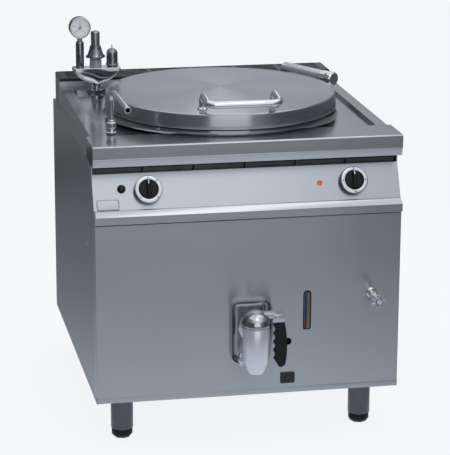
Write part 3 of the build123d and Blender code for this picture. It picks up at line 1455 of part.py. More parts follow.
# ================================================================ lid
lid_overhang, lid_side, lid_dome, lid_round, lid_wall = 30, 43, 10, 5, 2
lid_r = vessel_r + lid_overhang
lid_seat_gap = 0.5
lid_low_z = rim_z + lid_seat_gap
lid_edge_z = lid_low_z + lid_side
lid_top_z = lid_edge_z + lid_dome
dome_edge_r = lid_r - lid_round
dome_r = (dome_edge_r**2 + lid_dome**2) / (2 * lid_dome)
inner_r = lid_r - lid_wall
inner_dome_r = dome_r - lid_wall
inner_edge_z = lid_top_z - dome_r + sqrt(inner_dome_r**2 - inner_r**2)
liner_rise, liner_slope = 12, 16
with BuildPart() as lid_form:
    with BuildSketch(upright(0, vessel_y)):
        with BuildLine():
            Line((0, lid_low_z), (lid_r, lid_low_z))
            Line((lid_r, lid_low_z), (lid_r, lid_edge_z - lid_round))
            RadiusArc((lid_r, lid_edge_z - lid_round), (dome_edge_r, lid_edge_z), -lid_round)
            RadiusArc((dome_edge_r, lid_edge_z), (0, lid_top_z), -dome_r)
            Line((0, lid_top_z), (0, lid_low_z))
        make_face()
    revolve(axis=post_axis(0, vessel_y))

with BuildPart() as lid_shell:
    add(lid_form.part)
    with BuildSketch(upright(0, vessel_y)):
        with BuildLine():
            Line((0, lid_low_z), (inner_r, lid_low_z))
            Line((inner_r, lid_low_z), (inner_r, inner_edge_z))
            RadiusArc((inner_r, inner_edge_z), (0, lid_top_z - lid_wall), -inner_dome_r)
            Line((0, lid_top_z - lid_wall), (0, lid_low_z))
        make_face()
    revolve(axis=post_axis(0, vessel_y), mode=Mode.SUBTRACT)
lid_shell.part.label = "lid_shell"
export_step(lid_shell.part, "parts/lid_shell.step")

liner_gap = 10
liner_r = vessel_r - liner_gap
with BuildPart() as lid_liner:
    with BuildSketch(upright(0, vessel_y)):
        fold(
            (0, lid_low_z + liner_rise),
            (liner_r - liner_slope, lid_low_z + liner_rise),
            (liner_r, lid_low_z),
            (inner_r, lid_low_z),
            thickness=lid_wall,
        )
    revolve(axis=post_axis(0, vessel_y))
lid_liner.part.label = "lid_liner"
export_step(lid_liner.part, "parts/lid_liner.step")

handle_x, handle_foot_in, handle_bar_out, handle_r, handle_bend = 99, 75, 22, 10, 22
handle_rise, handle_bar_rise, handle_bore = 45, 33, 8
handle_top_z = lid_edge_z + handle_rise
handle_bar_z = lid_edge_z + handle_bar_rise
foot_y = vessel_y - lid_r + handle_foot_in
bar_y = vessel_y - lid_r - handle_bar_out
with BuildPart() as lid_handle:
    bent_pipe(
        [
            (-handle_x, foot_y, lid_edge_z - lid_wall),
            (-handle_x, foot_y, handle_top_z),
            (-handle_x, bar_y, handle_bar_z),
            (handle_x, bar_y, handle_bar_z),
            (handle_x, foot_y, handle_top_z),
            (handle_x, foot_y, lid_edge_z - lid_wall),
        ],
        handle_r,
        handle_bore,
        handle_bend,
    )
    add(lid_form.part, mode=Mode.SUBTRACT)
lid_handle.part.label = "lid_handle"
export_step(lid_handle.part, "parts/lid_handle.step")

# ================================================================ lid hinge
# set diagonally at the rear right
hinge_bearing, hinge_out, hinge_drop = 30, 30, 2.5
hinge_reach = lid_r + hinge_out
hinge_z = lid_edge_z - hinge_drop
barrel_r, hinge_pin_r, cap_reach = 19, 8, 40
hinge_back, hinge_front, lug_thickness = -118, 53, 8
outward = (cos(radians(hinge_bearing)), sin(radians(hinge_bearing)), 0)
along = (sin(radians(hinge_bearing)), -cos(radians(hinge_bearing)), 0)
hinge_point = (hinge_reach * outward[0], vessel_y + hinge_reach * outward[1], hinge_z)
hinge_plane = Plane(hinge_point, x_dir=outward, z_dir=along)  # x outward, y up, z towards the front end
base_drop = hinge_z - deck_z
hinge_base_half, hinge_base_thickness = 17, 5
adjuster_r, adjuster_brow, bar_hole_r, bar_hole_count = 20, 3, 3, 8

with BuildPart() as hinge_bracket:
    for low in (hinge_back, hinge_front - lug_thickness):
        with BuildSketch(hinge_plane.offset(low)):
            Circle(barrel_r)
            with Locations((0, -base_drop / 2)):
                Rectangle(2 * hinge_base_half, base_drop)
        extrude(amount=lug_thickness)
    with BuildSketch(hinge_plane.offset(hinge_back)):
        Circle(hinge_pin_r)
        with Locations((0, -base_drop + hinge_base_thickness / 2)):
            Rectangle(2 * hinge_base_half, hinge_base_thickness)
    extrude(amount=hinge_front - hinge_back)
    # spring adjuster with tommy-bar holes
    with BuildSketch(hinge_plane.offset(hinge_front)):
        Circle(adjuster_r)
    extrude(amount=cap_reach)
    chamfer(hinge_bracket.faces().sort_by(Axis(hinge_point, along))[-1].edges(), length=adjuster_brow)
    with Locations(hinge_plane.offset(hinge_front + cap_reach / 2)):
        with PolarLocations(0, bar_hole_count):
            Cylinder(
                bar_hole_r,
                adjuster_r + adjuster_brow,
                rotation=(90, 0, 0),
                align=(Align.CENTER, Align.CENTER, Align.MIN),
                mode=Mode.SUBTRACT,
            )
hinge_bracket.part.label = "hinge_bracket"
export_step(hinge_bracket.part, "parts/hinge_bracket.step")

leaf_low, leaf_thickness, leaf_back, leaf_front, leaf_reach = -14, 8, -90, 30, 80
with BuildPart() as hinge_barrel:
    with BuildSketch(hinge_plane.offset(hinge_back + lug_thickness + clearance)):
        Circle(barrel_r)
    extrude(amount=hinge_front - hinge_back - 2 * lug_thickness - 2 * clearance)
    with BuildSketch(hinge_plane.offset(leaf_back)):
        with Locations((-leaf_reach / 2, leaf_low + leaf_thickness / 2)):
            Rectangle(leaf_reach, leaf_thickness)
    extrude(amount=leaf_front - leaf_back)
    add(lid_form.part, mode=Mode.SUBTRACT)
    with BuildSketch(hinge_plane.offset(hinge_back)):
        Circle(hinge_pin_r + running_fit)
    extrude(amount=hinge_front - hinge_back, mode=Mode.SUBTRACT)
hinge_barrel.part.label = "hinge_barrel"
export_step(hinge_barrel.part, "parts/hinge_barrel.step")
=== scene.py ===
"""Looks of a gas-heated steam-jacketed boiling kettle: finishes, turned fittings, studio and camera."""

import json
from math import atan2, cos, pi, radians, sin, sqrt, tan

import bpy
from mathutils import Matrix, Vector


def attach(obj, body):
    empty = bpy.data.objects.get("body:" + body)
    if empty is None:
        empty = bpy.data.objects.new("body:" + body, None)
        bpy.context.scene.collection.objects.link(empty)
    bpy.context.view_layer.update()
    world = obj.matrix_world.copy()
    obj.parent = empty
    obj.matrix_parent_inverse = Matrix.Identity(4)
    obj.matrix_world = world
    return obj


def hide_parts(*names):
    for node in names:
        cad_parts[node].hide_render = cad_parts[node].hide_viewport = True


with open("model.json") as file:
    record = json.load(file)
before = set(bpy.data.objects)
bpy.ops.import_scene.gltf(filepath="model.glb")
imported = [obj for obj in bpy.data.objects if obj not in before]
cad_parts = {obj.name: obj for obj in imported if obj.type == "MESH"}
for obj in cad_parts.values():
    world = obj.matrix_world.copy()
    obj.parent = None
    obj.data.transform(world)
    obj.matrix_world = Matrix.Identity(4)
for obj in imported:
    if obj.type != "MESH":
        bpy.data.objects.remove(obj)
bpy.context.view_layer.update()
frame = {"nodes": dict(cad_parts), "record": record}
nodes = frame["nodes"]
bpy.ops.object.select_all(action="DESELECT")

MM = 0.001
BACKDROP = (0.913, 0.930, 0.947)
FLOOR_GLOW = (0.965, 0.983, 1.0)
SURROUND_TINT = (0.96, 1.0, 1.05)


# ---------------------------------------------------------------- materials
NOISE_SPAN = (0.3, 0.7)  # the part of its range that a noise factor fills
EVEN = (1, 1, 1)
STEEL_CLOUDS = 0.02
MIX_SOCKETS = {"VECTOR": (4, 5, 1), "RGBA": (6, 7, 2)}  # two inputs and the output


def feed(owner, socket, value):
    """Links a socket to another, or sets it to a fixed value."""
    if isinstance(value, bpy.types.NodeSocket):
        owner.node_tree.links.new(value, socket)
    else:
        socket.default_value = value


def add_node(owner, kind, **sockets):
    """A node of a material or a world, with some of its sockets fed."""
    node = owner.node_tree.nodes.new(kind)
    for name, value in sockets.items():
        feed(owner, node.inputs[name.replace("_", " ")], value)
    return node


def new_material(name, **sockets):
    """A Principled material with some of its sockets set; returns it and its shader."""
    material = bpy.data.materials.new(name)
    material.use_nodes = True
    shader = material.node_tree.nodes["Principled BSDF"]
    for socket, value in sockets.items():
        shader.inputs[socket.replace("_", " ")].default_value = value
    return material, shader


def maths(owner, operation, *values, kind="ShaderNodeMath"):
    """Outputs of a maths node."""
    node = add_node(owner, kind)
    node.operation = operation
    for socket, value in zip(node.inputs, values):
        feed(owner, socket, value)
    return node.outputs


def vector_maths(owner, operation, *values):
    return maths(owner, operation, *values, kind="ShaderNodeVectorMath")


def mixed(owner, kind, factor, first, second, blend="MIX"):
    """Blend of two vectors or two colours."""
    node = add_node(owner, "ShaderNodeMix")
    node.data_type = kind
    node.blend_type = blend
    low, high, result = MIX_SOCKETS[kind]
    for place, value in ((0, factor), (low, first), (high, second)):
        feed(owner, node.inputs[place], value)
    return node.outputs[result]


def mapped(owner, value, source, result=(0, 1), smooth=False):
    """Maps a value from one range to another."""
    node = add_node(owner, "ShaderNodeMapRange", Value=value, From_Min=source[0], From_Max=source[1],
                    To_Min=result[0], To_Max=result[1])
    if smooth:
        node.interpolation_type = "SMOOTHSTEP"
    return node.outputs["Result"]


def object_place(material):
    return add_node(material, "ShaderNodeTexCoord").outputs["Object"]


def object_axes(material):
    """Sockets of a point's sideways, depth and height."""
    return add_node(material, "ShaderNodeSeparateXYZ", Vector=object_place(material)).outputs


def stretched_noise(material, stretch, scale, detail=3.0):
    """Noise on object coordinates, drawn out along one axis; returns its factor socket."""
    mapping = add_node(material, "ShaderNodeMapping", Vector=object_place(material), Scale=stretch)
    place = mapping.outputs["Vector"]
    noise = add_node(material, "ShaderNodeTexNoise", Vector=place, Scale=scale, Detail=detail)
    return noise.outputs["Fac"]


def shade(colour, factor):
    return tuple(channel * factor for channel in colour)


def surface(material, shader, clouds, colour, contrast, grain, roughness, swing):
    """Clouds vary the colour and grain the roughness, each up and down by a share of itself."""
    ramp = add_node(material, "ShaderNodeValToRGB", Fac=clouds)
    for element, place, share in zip(ramp.color_ramp.elements, NOISE_SPAN, (1 - contrast, 1 + contrast)):
        element.position = place
        element.color = (*shade(colour, share), 1)
    feed(material, shader.inputs["Base Color"], ramp.outputs["Color"])
    rough = mapped(material, grain, NOISE_SPAN, (roughness * (1 - swing), roughness * (1 + swing)))
    feed(material, shader.inputs["Roughness"], rough)


def bump(material, shader, height, distance, strength):
    node = add_node(material, "ShaderNodeBump", Height=height, Distance=distance, Strength=strength)
    feed(material, shader.inputs["Normal"], node.outputs["Normal"])


def ground_steel(name, colour, roughness, along, stretch, anisotropy=0.85):
    """Stainless sheet ground along one axis; its highlights are drawn out along another."""
    material, shader = new_material(name, Metallic=1.0, Anisotropic=anisotropy)
    grain = stretched_noise(material, [4.0 if axis else 900.0 for axis in along], 1.0, 2.0)
    clouds = stretched_noise(material, [1.5 if axis else 4.0 for axis in along], 2.0, 2.0)
    surface(material, shader, clouds, colour, STEEL_CLOUDS, grain, roughness, 0.06)
    direction = add_node(material, "ShaderNodeCombineXYZ", **dict(zip("XYZ", stretch)))
    feed(material, shader.inputs["Tangent"], direction.outputs["Vector"])
    bump(material, shader, grain, 0.00001, 0.05)
    return material


def spun_steel(name, colour, roughness, centre, axis, wall_top=None):
    """Stainless brushed round an axis, so its highlights fan out; below wall_top they run upright."""
    material, shader = new_material(name, Metallic=1.0, Anisotropic=0.8)
    from_centre = vector_maths(material, "SUBTRACT", object_place(material), centre)["Vector"]
    around = vector_maths(material, "CROSS_PRODUCT", from_centre, axis)["Vector"]
    tangent = vector_maths(material, "CROSS_PRODUCT", around, shade(axis, -1))["Vector"]
    radius = vector_maths(material, "LENGTH", tangent)["Value"]
    rings = add_node(material, "ShaderNodeCombineXYZ", X=radius).outputs["Vector"]
    grain = add_node(material, "ShaderNodeTexNoise", Vector=rings, Scale=700, Detail=2).outputs["Fac"]
    clouds = stretched_noise(material, EVEN, 3.0, 2.0)
    surface(material, shader, clouds, colour, STEEL_CLOUDS, grain, roughness, 0.07)
    if wall_top is not None:
        rise = mapped(material, object_axes(material)["Z"], (wall_top - 0.003, wall_top))
        tangent = mixed(material, "VECTOR", rise, (0, 0, 1), tangent)
    feed(material, shader.inputs["Tangent"], tangent)
    bump(material, shader, grain, 0.00002, 0.08)
    return material


def plain_metal(name, colour, roughness, contrast=0.05):
    """Plated or cast metal with faint clouding and slight unevenness."""
    material, shader = new_material(name, Metallic=1.0)
    clouds = stretched_noise(material, EVEN, 40.0, 4.0)
    surface(material, shader, clouds, colour, contrast, clouds, roughness, 0.2)
    return material


def moulded(name, colour, roughness, gloss=0.5, contrast=0.12, pebble=900.0, depth=0.00004, metallic=0.0):
    """Moulded plastic or enamel with a fine pebbled skin."""
    material, shader = new_material(name, Specular_IOR_Level=gloss, Metallic=metallic)
    clouds = stretched_noise(material, EVEN, 30.0)
    surface(material, shader, clouds, colour, contrast, clouds, roughness, 0.15)
    bump(material, shader, stretched_noise(material, EVEN, pebble), depth, 0.4)
    return material


ALONG_X, ALONG_Y, ALONG_Z = (1, 0, 0), (0, 1, 0), (0, 0, 1)
STEEL = (0.455, 0.472, 0.50)
RING_STEEL = (0.60, 0.61, 0.63)
LID_CENTRE = (0.0, 0.0175, 0.9)
SLOPE_OUT = (0, -0.90414, 0.42723)

FINISHES = (
    (ground_steel, (
        ("worktop_steel", STEEL, 0.16, ALONG_X, ALONG_Y, 0.6),
        ("panel_steel", STEEL, 0.22, ALONG_X, ALONG_Z, 0.92),
        ("side_steel", STEEL, 0.3, ALONG_Y, ALONG_Z),
        ("duct_steel", shade(STEEL, 0.9), 0.4, ALONG_X, ALONG_Z),
        ("vessel_steel", STEEL, 0.28, ALONG_Z, ALONG_X),
        ("plate_steel", shade(STEEL, 0.8), 0.26, ALONG_X, ALONG_Z, 0.8),
        # lighter, glossier copy of the stainless: painted highlight on the trims' folds and edges
        ("lip_steel", (0.56, 0.575, 0.60), 0.18, ALONG_X, ALONG_Y, 0.5),
    )),
    (spun_steel, (
        ("lid_steel", STEEL, 0.24, LID_CENTRE, ALONG_Z, 0.901),
        ("gas_ring", RING_STEEL, 0.2, (-0.274, -0.37376, 0.72), SLOPE_OUT),
        ("switch_ring", RING_STEEL, 0.2, (0.293, -0.37376, 0.72), SLOPE_OUT),
    )),
    (plain_metal, (
        ("polished_chrome", (0.72, 0.73, 0.75), 0.07),
        ("satin_steel", (0.60, 0.62, 0.65), 0.3),
        ("bezel_chrome", (0.55, 0.56, 0.58), 0.18),
        ("valve_satin", (0.76, 0.80, 0.86), 0.36, 0.02),
        ("cast_brass", (0.55, 0.42, 0.2), 0.4),
        ("burner_steel", (0.3, 0.29, 0.28), 0.5),
        # dark chrome of the valve fittings, and painted shade on the throat under the lid
        ("dark_chrome", (0.27, 0.28, 0.30), 0.08, 0.02),
        ("relief_grey", (0.36, 0.37, 0.39), 0.3),
        ("hinge_satin", (0.64, 0.67, 0.72), 0.42, 0.02),
        ("cap_chrome", (0.50, 0.52, 0.55), 0.06, 0.02),
        # near-black steel: painted shade in the recessed vent band
        ("vent_dark", (0.10, 0.105, 0.11), 0.45),
        ("plate_blank", (0.50, 0.51, 0.53), 0.35, 0.02),
        ("leg_steel", (0.12, 0.126, 0.132), 0.26, 0.03),
    )),
    (moulded, (
        ("pointer_white", (0.78, 0.78, 0.76), 0.4),
        ("black_enamel", (0.012, 0.013, 0.014), 0.25, 0.3),
        ("black_plastic", (0.009, 0.009, 0.010), 0.4, 0.2),
        ("red_plastic", (0.10, 0.008, 0.008), 0.3),
        ("lamp_orange", (0.75, 0.15, 0.03), 0.25),
        ("level_glass", (0.03, 0.04, 0.06), 0.08),
        ("needle_black", (0.01, 0.01, 0.01), 0.4),
        ("dial_white", (0.86, 0.88, 0.93), 0.5, 0.5, 0.03),
        ("pointer_red", (0.5, 0.02, 0.03), 0.4),
        ("valve_grey", (0.62, 0.66, 0.74), 0.24, 0.5, 0.02, 900.0, 0.00001, 0.55),
        # near-black used as painted shadow: the dark gap under the panel's lip
        ("seal_black", (0.03, 0.032, 0.03), 0.6),
        ("sight_black", (0.03, 0.032, 0.036), 0.4),
        ("tube_glass", (0.10, 0.095, 0.095), 0.12),
        ("line_blue", (0.03, 0.09, 0.20), 0.3),
        ("line_red", (0.25, 0.03, 0.03), 0.3),
        ("window_black", (0.022, 0.024, 0.028), 0.5, 0.3),
        ("eye_black", (0.002, 0.002, 0.002), 0.25, 0.2),
        ("ring_blue", (0.03, 0.04, 0.16), 0.35),
        ("mineral_wool", (0.45, 0.4, 0.28), 0.9, 0.5, 0.2, 200.0, 0.002),
    )),
)
finishes = {name: make(name, *values) for make, rows in FINISHES for name, *values in rows}
finishes["clear_glass"] = new_material(
    "clear_glass", Base_Color=(0.85, 0.88, 0.9, 1), Roughness=0.03, Alpha=0.12
)[0]

for part in frame["record"]["subparts"]:
    obj = nodes[part["node"]]
    obj.data.materials.clear()
    obj.data.materials.append(finishes[part["material_slot"]])
# the vent strip takes near-black steel as painted shade of its recess
for name, finish in (
    ("side_panel_left", "side_steel"), ("side_panel_right", "side_steel"), ("vent_strip", "vent_dark"),
):
    nodes[name].data.materials[0] = finishes[finish]


# ---------------------------------------------------------------- modelling helpers
SHARP = radians(32)  # edges that turn more than this are rounded


def pick(piece):
    """Makes a piece the active one and the only one selected."""
    bpy.ops.object.select_all(action="DESELECT")
    piece.select_set(True)
    bpy.context.view_layer.objects.active = piece


def point(*place):
    """A place in millimetres as a vector in metres."""
    return Vector(place) * MM


def local_frame(place, up, right=(1, 0, 0)):
    """Frame at a place in millimetres with its Z along up and its X as near right as it goes."""
    z = Vector(up).normalized()
    x = (Vector(right) - z * Vector(right).dot(z)).normalized()
    y = z.cross(x)
    return Matrix.Translation(point(*place)) @ Matrix((x, y, z)).transposed().to_4x4()


def settle(piece, frame_matrix=None):
    """Puts a piece's place and turn into its mesh."""
    if frame_matrix is not None:
        piece.matrix_world = frame_matrix @ piece.matrix_world
    pick(piece)
    bpy.ops.object.transform_apply(location=True, rotation=True, scale=True)


def start_editing(piece):
    pick(piece)
    bpy.ops.object.mode_set(mode="EDIT")
    bpy.ops.mesh.select_all(action="SELECT")


def start_editing_some(piece, kind, wanted):
    """Starts editing with only the vertices, edges or faces that are wanted selected."""
    start_editing(piece)
    bpy.ops.mesh.select_mode(type=kind)
    bpy.ops.mesh.select_all(action="DESELECT")
    bpy.ops.object.mode_set(mode="OBJECT")
    mesh = piece.data
    for element in {"VERT": mesh.vertices, "EDGE": mesh.edges, "FACE": mesh.polygons}[kind]:
        element.select = wanted(element)
    bpy.ops.object.mode_set(mode="EDIT")


def stop_editing(close_holes=False):
    """Merges doubles, closes open ends where asked, and turns the faces outwards."""
    bpy.ops.mesh.select_mode(type="VERT")
    bpy.ops.mesh.select_all(action="SELECT")
    bpy.ops.mesh.remove_doubles(threshold=0.000002)
    if close_holes:
        bpy.ops.mesh.fill_holes(sides=0)
    bpy.ops.mesh.normals_make_consistent(inside=False)
    bpy.ops.object.mode_set(mode="OBJECT")


def modified(piece, kind, **settings):
    """Gives a piece a modifier and applies it."""
    modifier = piece.modifiers.new("shape", kind)
    for name, value in settings.items():
        setattr(modifier, name, value)
    pick(piece)
    bpy.ops.object.modifier_apply(modifier=modifier.name)
    return piece


def rounded(piece, width, segments=2):
    """Rounds a piece's sharp edges by a width in millimetres."""
    return modified(piece, "BEVEL", width=width * MM, segments=segments, limit_method="ANGLE",
                    angle_limit=SHARP, harden_normals=False)


def recessed(piece, facing, *steps):
    """Insets the faces that face one way, once for each (thickness, depth) in millimetres."""
    start_editing_some(piece, "FACE", lambda side: side.normal.dot(Vector(facing)) > 0.99)
    for thickness, depth in steps:
        bpy.ops.mesh.inset(thickness=thickness * MM, depth=depth * MM)
    stop_editing()


def extrude(step):
    bpy.ops.mesh.extrude_region_move(TRANSFORM_OT_translate={"value": tuple(step)})


def newest(name):
    """The object just added, under its name."""
    piece = bpy.context.object
    piece.name = name
    return piece


def turned(name, outline, frame_matrix, steps=64, hollow=False):
    """A ring drawn out through (radius, height) points; a hollow outline ends where it starts."""
    radius, height = outline[0]
    bpy.ops.mesh.primitive_circle_add(vertices=steps, radius=radius * MM, location=(0, 0, height * MM))
    piece = newest(name)
    settle(piece)
    start_editing(piece)
    for next_radius, next_height in outline[1:] + (outline[:1] if hollow else []):
        extrude((0, 0, (next_height - height) * MM))
        grown = next_radius / radius
        bpy.ops.transform.resize(value=(grown, grown, 1), center_override=(0, 0, 0))
        radius, height = next_radius, next_height
    stop_editing(close_holes=not hollow)
    settle(piece, frame_matrix)
    return piece


def arc(centre, radius, start, end, count=8):
    """Points of an outline's arc, its angles in degrees."""
    angles = [radians(start + (end - start) * i / count) for i in range(count + 1)]
    return [(centre[0] + radius * cos(a), centre[1] + radius * sin(a)) for a in angles]


def pipe(name, corners, radius, bend, steps=24, bore=0.0):
    """A ring drawn along straight runs and swung round each corner, open where it has a bore."""
    places = [point(*corner) for corner in corners]
    ways = [(b - a).normalized() for a, b in zip(places, places[1:])]
    frame_matrix = local_frame(corners[0], ways[0], (1, 0, 0) if abs(ways[0].x) < 0.9 else (0, 1, 0))
    bpy.ops.mesh.primitive_circle_add(vertices=steps, radius=radius * MM)
    piece = newest(name)
    settle(piece, frame_matrix)
    start_editing(piece)
    if bore:
        bpy.ops.mesh.duplicate()
        grown = bore / radius
        bpy.ops.transform.resize(value=(grown, grown, grown), center_override=tuple(places[0]))
        bpy.ops.mesh.select_all(action="SELECT")
        bpy.ops.mesh.bridge_edge_loops()
    here = places[0]
    for corner, way, next_way in zip(places[1:], ways, ways[1:] + [None]):
        if next_way is None:
            extrude(corner - here)
            break
        turn = way.angle(next_way)
        cut_back = bend * MM * tan(turn / 2)
        stop_at = corner - way * cut_back
        extrude(stop_at - here)
        inward = (next_way - way * next_way.dot(way)).normalized()
        centre = stop_at + inward * bend * MM
        bpy.ops.mesh.spin(steps=8, angle=turn, center=tuple(centre), axis=tuple(next_way.cross(way)))
        here = corner + next_way * cut_back
    stop_editing(close_holes=not bore)
    return piece


def block(name, low, high, frame_matrix=None, rounding=1.0, segments=2):
    """A squared block between two corners in millimetres, its edges rounded."""
    size = [(b - a) * MM for a, b in zip(low, high)]
    centre = [(a + b) / 2 * MM for a, b in zip(low, high)]
    bpy.ops.mesh.primitive_cube_add(size=1, location=centre, scale=size)
    piece = newest(name)
    settle(piece, frame_matrix)
    return rounded(piece, rounding, segments)


def slab(name, width, height, thickness, corner, frame_matrix, edge=0.8):
    """A plate lying on its frame, every edge of it rolled by its corner's width."""
    bpy.ops.mesh.primitive_cube_add(
        size=1, location=(0, 0, thickness / 2 * MM), scale=(width * MM, height * MM, thickness * MM)
    )
    piece = newest(name)
    settle(piece)
    start_editing(piece)
    bpy.ops.mesh.bevel(offset=corner * MM, segments=8, affect="EDGES")
    stop_editing()
    settle(piece, frame_matrix)
    return rounded(piece, edge) if edge else piece


def joined(name, pieces):
    pick(pieces[0])
    for piece in pieces[1:]:
        piece.select_set(True)
    if len(pieces) > 1:
        bpy.ops.object.join()
    return newest(name)


def evenly_round(piece, count, axle):
    """A piece and its copies, evenly spaced round a frame's Z."""
    pieces = [piece]
    for i in range(1, count):
        twin = piece.copy()
        twin.data = piece.data.copy()
        bpy.context.scene.collection.objects.link(twin)
        settle(twin, axle @ Matrix.Rotation(2 * pi * i / count, 4, "Z") @ axle.inverted())
        pieces.append(twin)
    return pieces


def fit(piece, slot, *replaced, body="cabinet", finish=None, smooth=35):
    """Gives a piece its finish and its body, and says which solids it stands for."""
    pick(piece)
    bpy.ops.object.shade_smooth_by_angle(angle=radians(smooth))
    piece.data.materials.clear()
    piece.data.materials.append(finishes[finish or slot])
    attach(piece, body)
    if replaced:
        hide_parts(*replaced)


CHROME, BLACK = "polished_chrome", "black_plastic"
FRONT_FACE = -408.5  # depth of the front panel's face


def on_post(x, y):
    return local_frame((x, y, 0), ALONG_Z)


def out_front(x, y, z):
    """Frame facing out of the front: its X to the right and its Y up."""
    return local_frame((x, y, z), (0, -1, 0))


# ---------------------------------------------------------------- lid
VESSEL = (0.0, 17.5)
LID_R, LID_LOW, LID_EDGE, LID_TOP, LID_ROUND = 330, 861.5, 904.5, 914.5, 5
LID_LEAN = 2.2  # how far the upright wall leans in


def make_lid():
    """Turned lid: rolled lower edge, upright wall, rounded brow and a shallow dome."""
    dome_edge = LID_R - LID_ROUND
    dome_r = (dome_edge**2 + (LID_TOP - LID_EDGE) ** 2) / (2 * (LID_TOP - LID_EDGE))
    outline = [(LID_R - 3, LID_LOW + 0.4), (LID_R - 0.9, LID_LOW + 0.2), (LID_R, LID_LOW + 1.4)]
    outline += [(LID_R - 0.6, LID_LOW + 12), (LID_R - 1.4, LID_LOW + 26)]
    outline += arc((dome_edge - LID_LEAN, LID_EDGE - LID_ROUND), LID_ROUND, 4, 84, 6)
    for i in range(12):
        radius = dome_edge * (1 - i / 12) - 4 - LID_LEAN
        outline.append((max(radius, 1), LID_TOP - dome_r + sqrt(dome_r**2 - radius**2)))
    shell = turned("lid_dome", outline, on_post(*VESSEL), 160)
    fit(shell, "lid_steel", "lid_shell", body="lid", smooth=50)


def make_collar():
    """Black seal under the lid's edge and the glossy throat of the opening below it; their darkness is
    painted shade under the lid.
    """
    # the black seal ring also paints the shadowed gap under the lid's edge
    shadow_band = turned("lid_seal_painted_shadow", [(323, 858.2), (328.6, 858.2), (328.6, 861.1), (323, 861.1)], on_post(*VESSEL),
                  160, True)
    fit(rounded(shadow_band, 0.4), BLACK)
    # the throat is worktop steel; its dark mirror finish is painted shade under the lid
    outline = [(322.7, 858), (323.7, 850.4), (326.6, 845.4), (330.2, 842.4), (334.2, 840.6), (336, 840.1),
               (333, 839.9)]
    throat = turned("throat_painted_shade", outline + [(322.1, 845), (322.1, 858)], on_post(*VESSEL), 160, True)
    fit(throat, "worktop_steel", finish="dark_chrome", smooth=60)


def make_lid_handle():
    """Bent tube with a welded collar at each foot."""
    x, foot_y, bar_y = 99, -237.5, -334.5
    foot_z, top_z, bar_z = 911.0, 949.5, 937.5
    corners = [(-x, foot_y, foot_z - 4), (-x, foot_y, top_z), (-x, bar_y, bar_z)]
    corners += [(-cx, cy, cz) for cx, cy, cz in reversed(corners)]
    bar = pipe("lid_handle_tube", corners, 10, 22, 32)
    fit(bar, CHROME, "lid_handle", body="lid", smooth=40)
    outline = [(15, 907.5), (14.6, 909.4), (12, 910.8), (10.6, 912.5), (10, 915)]
    collars = [turned("handle_collar", outline, on_post(side * x, foot_y), 32) for side in (-1, 1)]
    fit(joined("lid_handle_collars", collars), CHROME, body="lid", smooth=60)


# ---------------------------------------------------------------- knobs, button and lamp
PANEL_SLANT = (-352.5, 765, -395.5, 674)  # upper edge's y and z, lower edge's y and z


def on_slope(x, z):
    """Frame on the slanted panel at a height: its X to the right, its Y up the slope."""
    top_y, top_z, low_y, low_z = PANEL_SLANT
    y = low_y + (z - low_z) * (top_y - low_y) / (top_z - low_z)
    return local_frame((x, y, z), SLOPE_OUT)


def dial_mark(place, bearing, reach, length=4.6, width=2.2):
    """Small raised bar on the bezel's face, at a bearing in degrees from the top."""
    turn = Matrix.Rotation(-radians(bearing), 4, "Z")
    low, high = (-width / 2, reach, 20.4), (width / 2, reach + length, 21.15)
    return block("mark", low, high, place @ turn, 0.2, 1)


def make_knob(name, x, marks, body):
    place = on_slope(x, 720)
    skirt = turned(
        name + "_skirt", [(33, 0), (34.5, 1.2), (34.5, 16), (26.2, 16), (26.2, 2), (8, 2), (8, 0)], place, 64,
        True
    )
    fit(rounded(skirt, 0.4), BLACK, "knob_bezels")
    ring = turned(
        name + "_bezel",
        [(34.6, 16), (36.8, 16), (37.5, 16.7), (37.5, 18.6), (36.4, 20.2), (34.6, 20.6), (27.4, 20.6),
         (26.3, 19.6), (26.3, 16)],
        place, 96, True,
    )
    fit(rounded(ring, 0.3), CHROME, "knob_bezels", finish=name.replace("knob", "ring"))
    bars = [dial_mark(place, bearing, 29.6) for bearing in marks]
    fit(joined(name + "_marks", bars), BLACK)
    grip = turned(name + "_disc", [(25.5, 2.4), (25.5, 17.4), (24.4, 19.0), (22, 19.4), (8, 19.6)], place, 64)
    bar = slab(name + "_bar", 12, 50, 10.5, 5.9, place @ Matrix.Translation(point(0, 0, 18)), 1.4)
    fit(joined(name + "_grip", [rounded(grip, 0.5), bar]), BLACK, name, body=body)
    pointer = block(name + "_pointer", (-1.35, 14.2, 28.3), (1.35, 24.4, 28.75), place, 0.2, 1)
    fit(pointer, BLACK, body=body, finish="pointer_white")


def make_igniter_and_lamp():
    place = on_slope(-345, 726)
    ring = turned(
        "igniter_ring", [(11.5, 0), (11.5, 2.4), (10.4, 4), (7.6, 4), (7.4, 3.6), (7.4, -6), (9, -6), (9, 0)],
        place, 48, True,
    )
    fit(rounded(ring, 0.3), BLACK, "igniter_housing")
    button = turned(
        "igniter_cap", [(7, -10), (7, 8.4), (6.4, 9.6), (4.6, 10), (3.6, 9.5), (1, 9.3)], place, 40
    )
    fit(rounded(button, 0.3), "red_plastic", "igniter_button", body="igniter_button", finish=BLACK)
    dot = turned("igniter_dot", [(3.4, 9.2), (3.4, 9.6), (2.6, 10), (0.8, 10.1)], place, 32)
    fit(dot, "red_plastic", body="igniter_button", smooth=50)
    place = on_slope(200, 719)
    lens = turned(
        "lamp_lens", [(7.5, 0), (7.5, 0.9), (6.6, 1.5), (5.6, 2.7), (3.4, 3.0), (1, 3.0)], place, 48
    )
    fit(rounded(lens, 0.3), "lamp_orange", "pilot_lamp")


# ---------------------------------------------------------------- drain valve
VALVE_Y = -498.5


